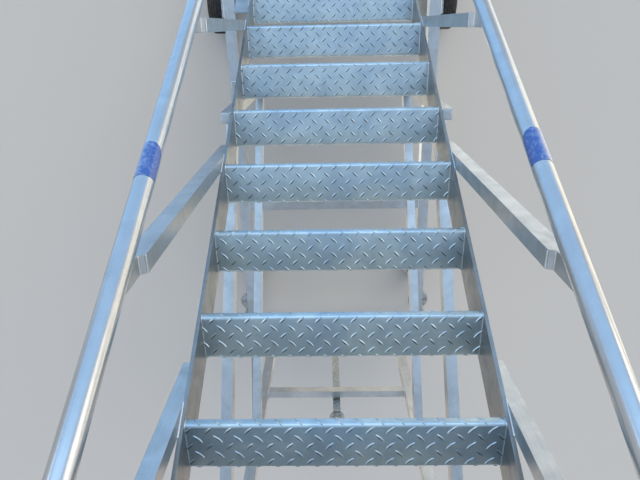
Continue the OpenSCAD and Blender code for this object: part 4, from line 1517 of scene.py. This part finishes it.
class STAIRS_OT_gate_fittings(bpy.types.Operator):
    """Adds the gate bar's end plug, its pin's heads and the beads on its ears and cradle"""
    bl_idname = "stairs.gate_fittings"
    bl_label = "Gate Fittings"

    def execute(self, context):
        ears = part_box("gate_ears")
        low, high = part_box("gate_bar")
        bar = Vector((high.x, (low.y + high.y) / 2, (low.z + high.z) / 2))
        bm = bmesh.new()
        turned(bm, GATE_PLUG, bar, (1, 0, 0), 28)
        piece(bm, "gate_bar_plug", "plastic", "gate_bar")
        bm = bmesh.new()
        for way, height in ((1, ears[1].z), (-1, ears[0].z)):
            turned(bm, GATE_PIN_HEAD, (GATE_PIN_X, bar.y, height), (0, 0, way), 28)
        piece(bm, "gate_pin_heads", "fastener", "frame")
        bm = bmesh.new()
        # The pin's ears on the one rail, then the cradle on the other
        places = [(-1, bar.z + rise) for rise in (-0.041, -0.035, 0.035, 0.041)] + [(1, bar.z - 0.022)]
        for side, height in places:
            round_rail = arc(lambda cosine, sine: (side * (RAIL_X - RAIL_R * cosine), bar.y + RAIL_R * sine,
                                                   height), -40, 40, 8)
            bead(bm, round_rail, GATE_BEAD, GATE_RIPPLE)
        piece(bm, "gate_welds", "weld", "frame", 60.0)
        return {"FINISHED"}


class STAIRS_OT_bumpers(bpy.types.Operator):
    """Makes the hollow rubber bumpers with their clamp strips and bolts"""
    bl_idname = "stairs.bumpers"
    bl_label = "Bumpers"

    def execute(self, context):
        low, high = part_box("landing_bumpers")
        back, front = low.y, high.y
        centre_z = (low.z + high.z) / 2
        nose_y = front - 0.025
        round_r, bore_r = 0.025, 0.0125
        bm = bmesh.new()
        for side in (-1, 1):
            x1, x2 = sorted((side * 0.090, side * high.x))
            own = bmesh.new()
            rim = [(back, -0.040), (back + 0.012, -0.040), (back + 0.016, -0.036), (back + 0.018, -0.029)]
            rim += arc(lambda cosine, sine: (nose_y + round_r * cosine, round_r * sine), -90, 90, 12)
            rim += [(y, -z) for y, z in reversed(rim[:4])]
            bore = arc(lambda cosine, sine: (nose_y - 0.004 + bore_r * cosine, bore_r * sine), 0, 342, 18)
            edges = []
            for loop in (rim, bore):
                edges += chain(own, [(x1, y, centre_z + z) for y, z in loop], closed=True)[1]
            bmesh.ops.triangle_fill(own, edges=edges, use_beauty=True, use_dissolve=False)
            grown = bmesh.ops.extrude_face_region(own, geom=own.faces[:])["geom"]
            bmesh.ops.translate(own, vec=(x2 - x1, 0.0, 0.0), verts=verts_in(grown))
            join(bm, own)
        made = piece(bm, "bumper_profiles", "bumper", "frame", 40.0)
        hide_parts("landing_bumpers")
        # Two clamp strips to a bumper, with four bolts in each
        strips, bolts = bmesh.new(), bmesh.new()
        for side in (-1, 1):
            x1, x2 = sorted((side * 0.094, side * (high.x - 0.004)))
            for z in (centre_z - 0.0345, centre_z + 0.0345):
                block(strips, (x1, back + 0.0140, z - 0.0050), (x2, back + 0.0170, z + 0.0050), 0.0006)
                for part in range(4):
                    x = x1 + (x2 - x1) * (0.08 + 0.28 * part)
                    bolt(bolts, (x, back + 0.0168, z), (0, 1, 0), 0.008)
        piece(strips, "bumper_clamp_strips", "cross", "frame")
        piece(bolts, "bumper_bolts", "fastener", "frame")
        return {"FINISHED"}


OPERATORS = (
    STAIRS_OT_stage,
    STAIRS_OT_finishes,
    STAIRS_OT_tread_lugs,
    STAIRS_OT_deck_lugs,
    STAIRS_OT_flight_welds,
    STAIRS_OT_post_welds,
    STAIRS_OT_landing_welds,
    STAIRS_OT_base_welds,
    STAIRS_OT_rail_films,
    STAIRS_OT_rail_plugs,
    STAIRS_OT_tyres,
    STAIRS_OT_rims,
    STAIRS_OT_castors,
    STAIRS_OT_jacks,
    STAIRS_OT_tube_caps,
    STAIRS_OT_axle_fittings,
    STAIRS_OT_tow_fittings,
    STAIRS_OT_gate_fittings,
    STAIRS_OT_bumpers,
)
GROUPS = {
    "stairs_plate": StairsPlate,
    "stairs_welds": StairsWelds,
    "stairs_marks": StairsMarks,
    "stairs_running": StairsRunning,
    "stairs_stage": StairsStage,
}


class STAIRS_PT_panel(bpy.types.Panel):
    """Lists the pieces and the sizes of the stairs"""
    bl_idname = "STAIRS_PT_panel"
    bl_label = "Mobile Aircraft Stairs"
    bl_space_type = "VIEW_3D"
    bl_region_type = "UI"
    bl_category = "Stairs"

    def draw(self, context):
        for name, group in GROUPS.items():
            box = self.layout.box()
            for prop in group.__annotations__:
                box.prop(getattr(context.scene, name), prop)
        for operator in OPERATORS:
            self.layout.operator(operator.bl_idname)


def register():
    for group in GROUPS.values():
        bpy.utils.register_class(group)
    for name, group in GROUPS.items():
        setattr(bpy.types.Scene, name, PointerProperty(type=group))
    for operator in OPERATORS:
        bpy.utils.register_class(operator)
    bpy.utils.register_class(STAIRS_PT_panel)


def unregister():
    bpy.utils.unregister_class(STAIRS_PT_panel)
    for operator in reversed(OPERATORS):
        bpy.utils.unregister_class(operator)
    for name in GROUPS:
        delattr(bpy.types.Scene, name)
    for group in reversed(GROUPS.values()):
        bpy.utils.unregister_class(group)


def main():
    """Registers the classes, then builds the stage and every piece."""
    register()
    for operator in OPERATORS:
        family, name = operator.bl_idname.split(".")
        getattr(getattr(bpy.ops, family), name)()


if __name__ == "__main__":
    main()
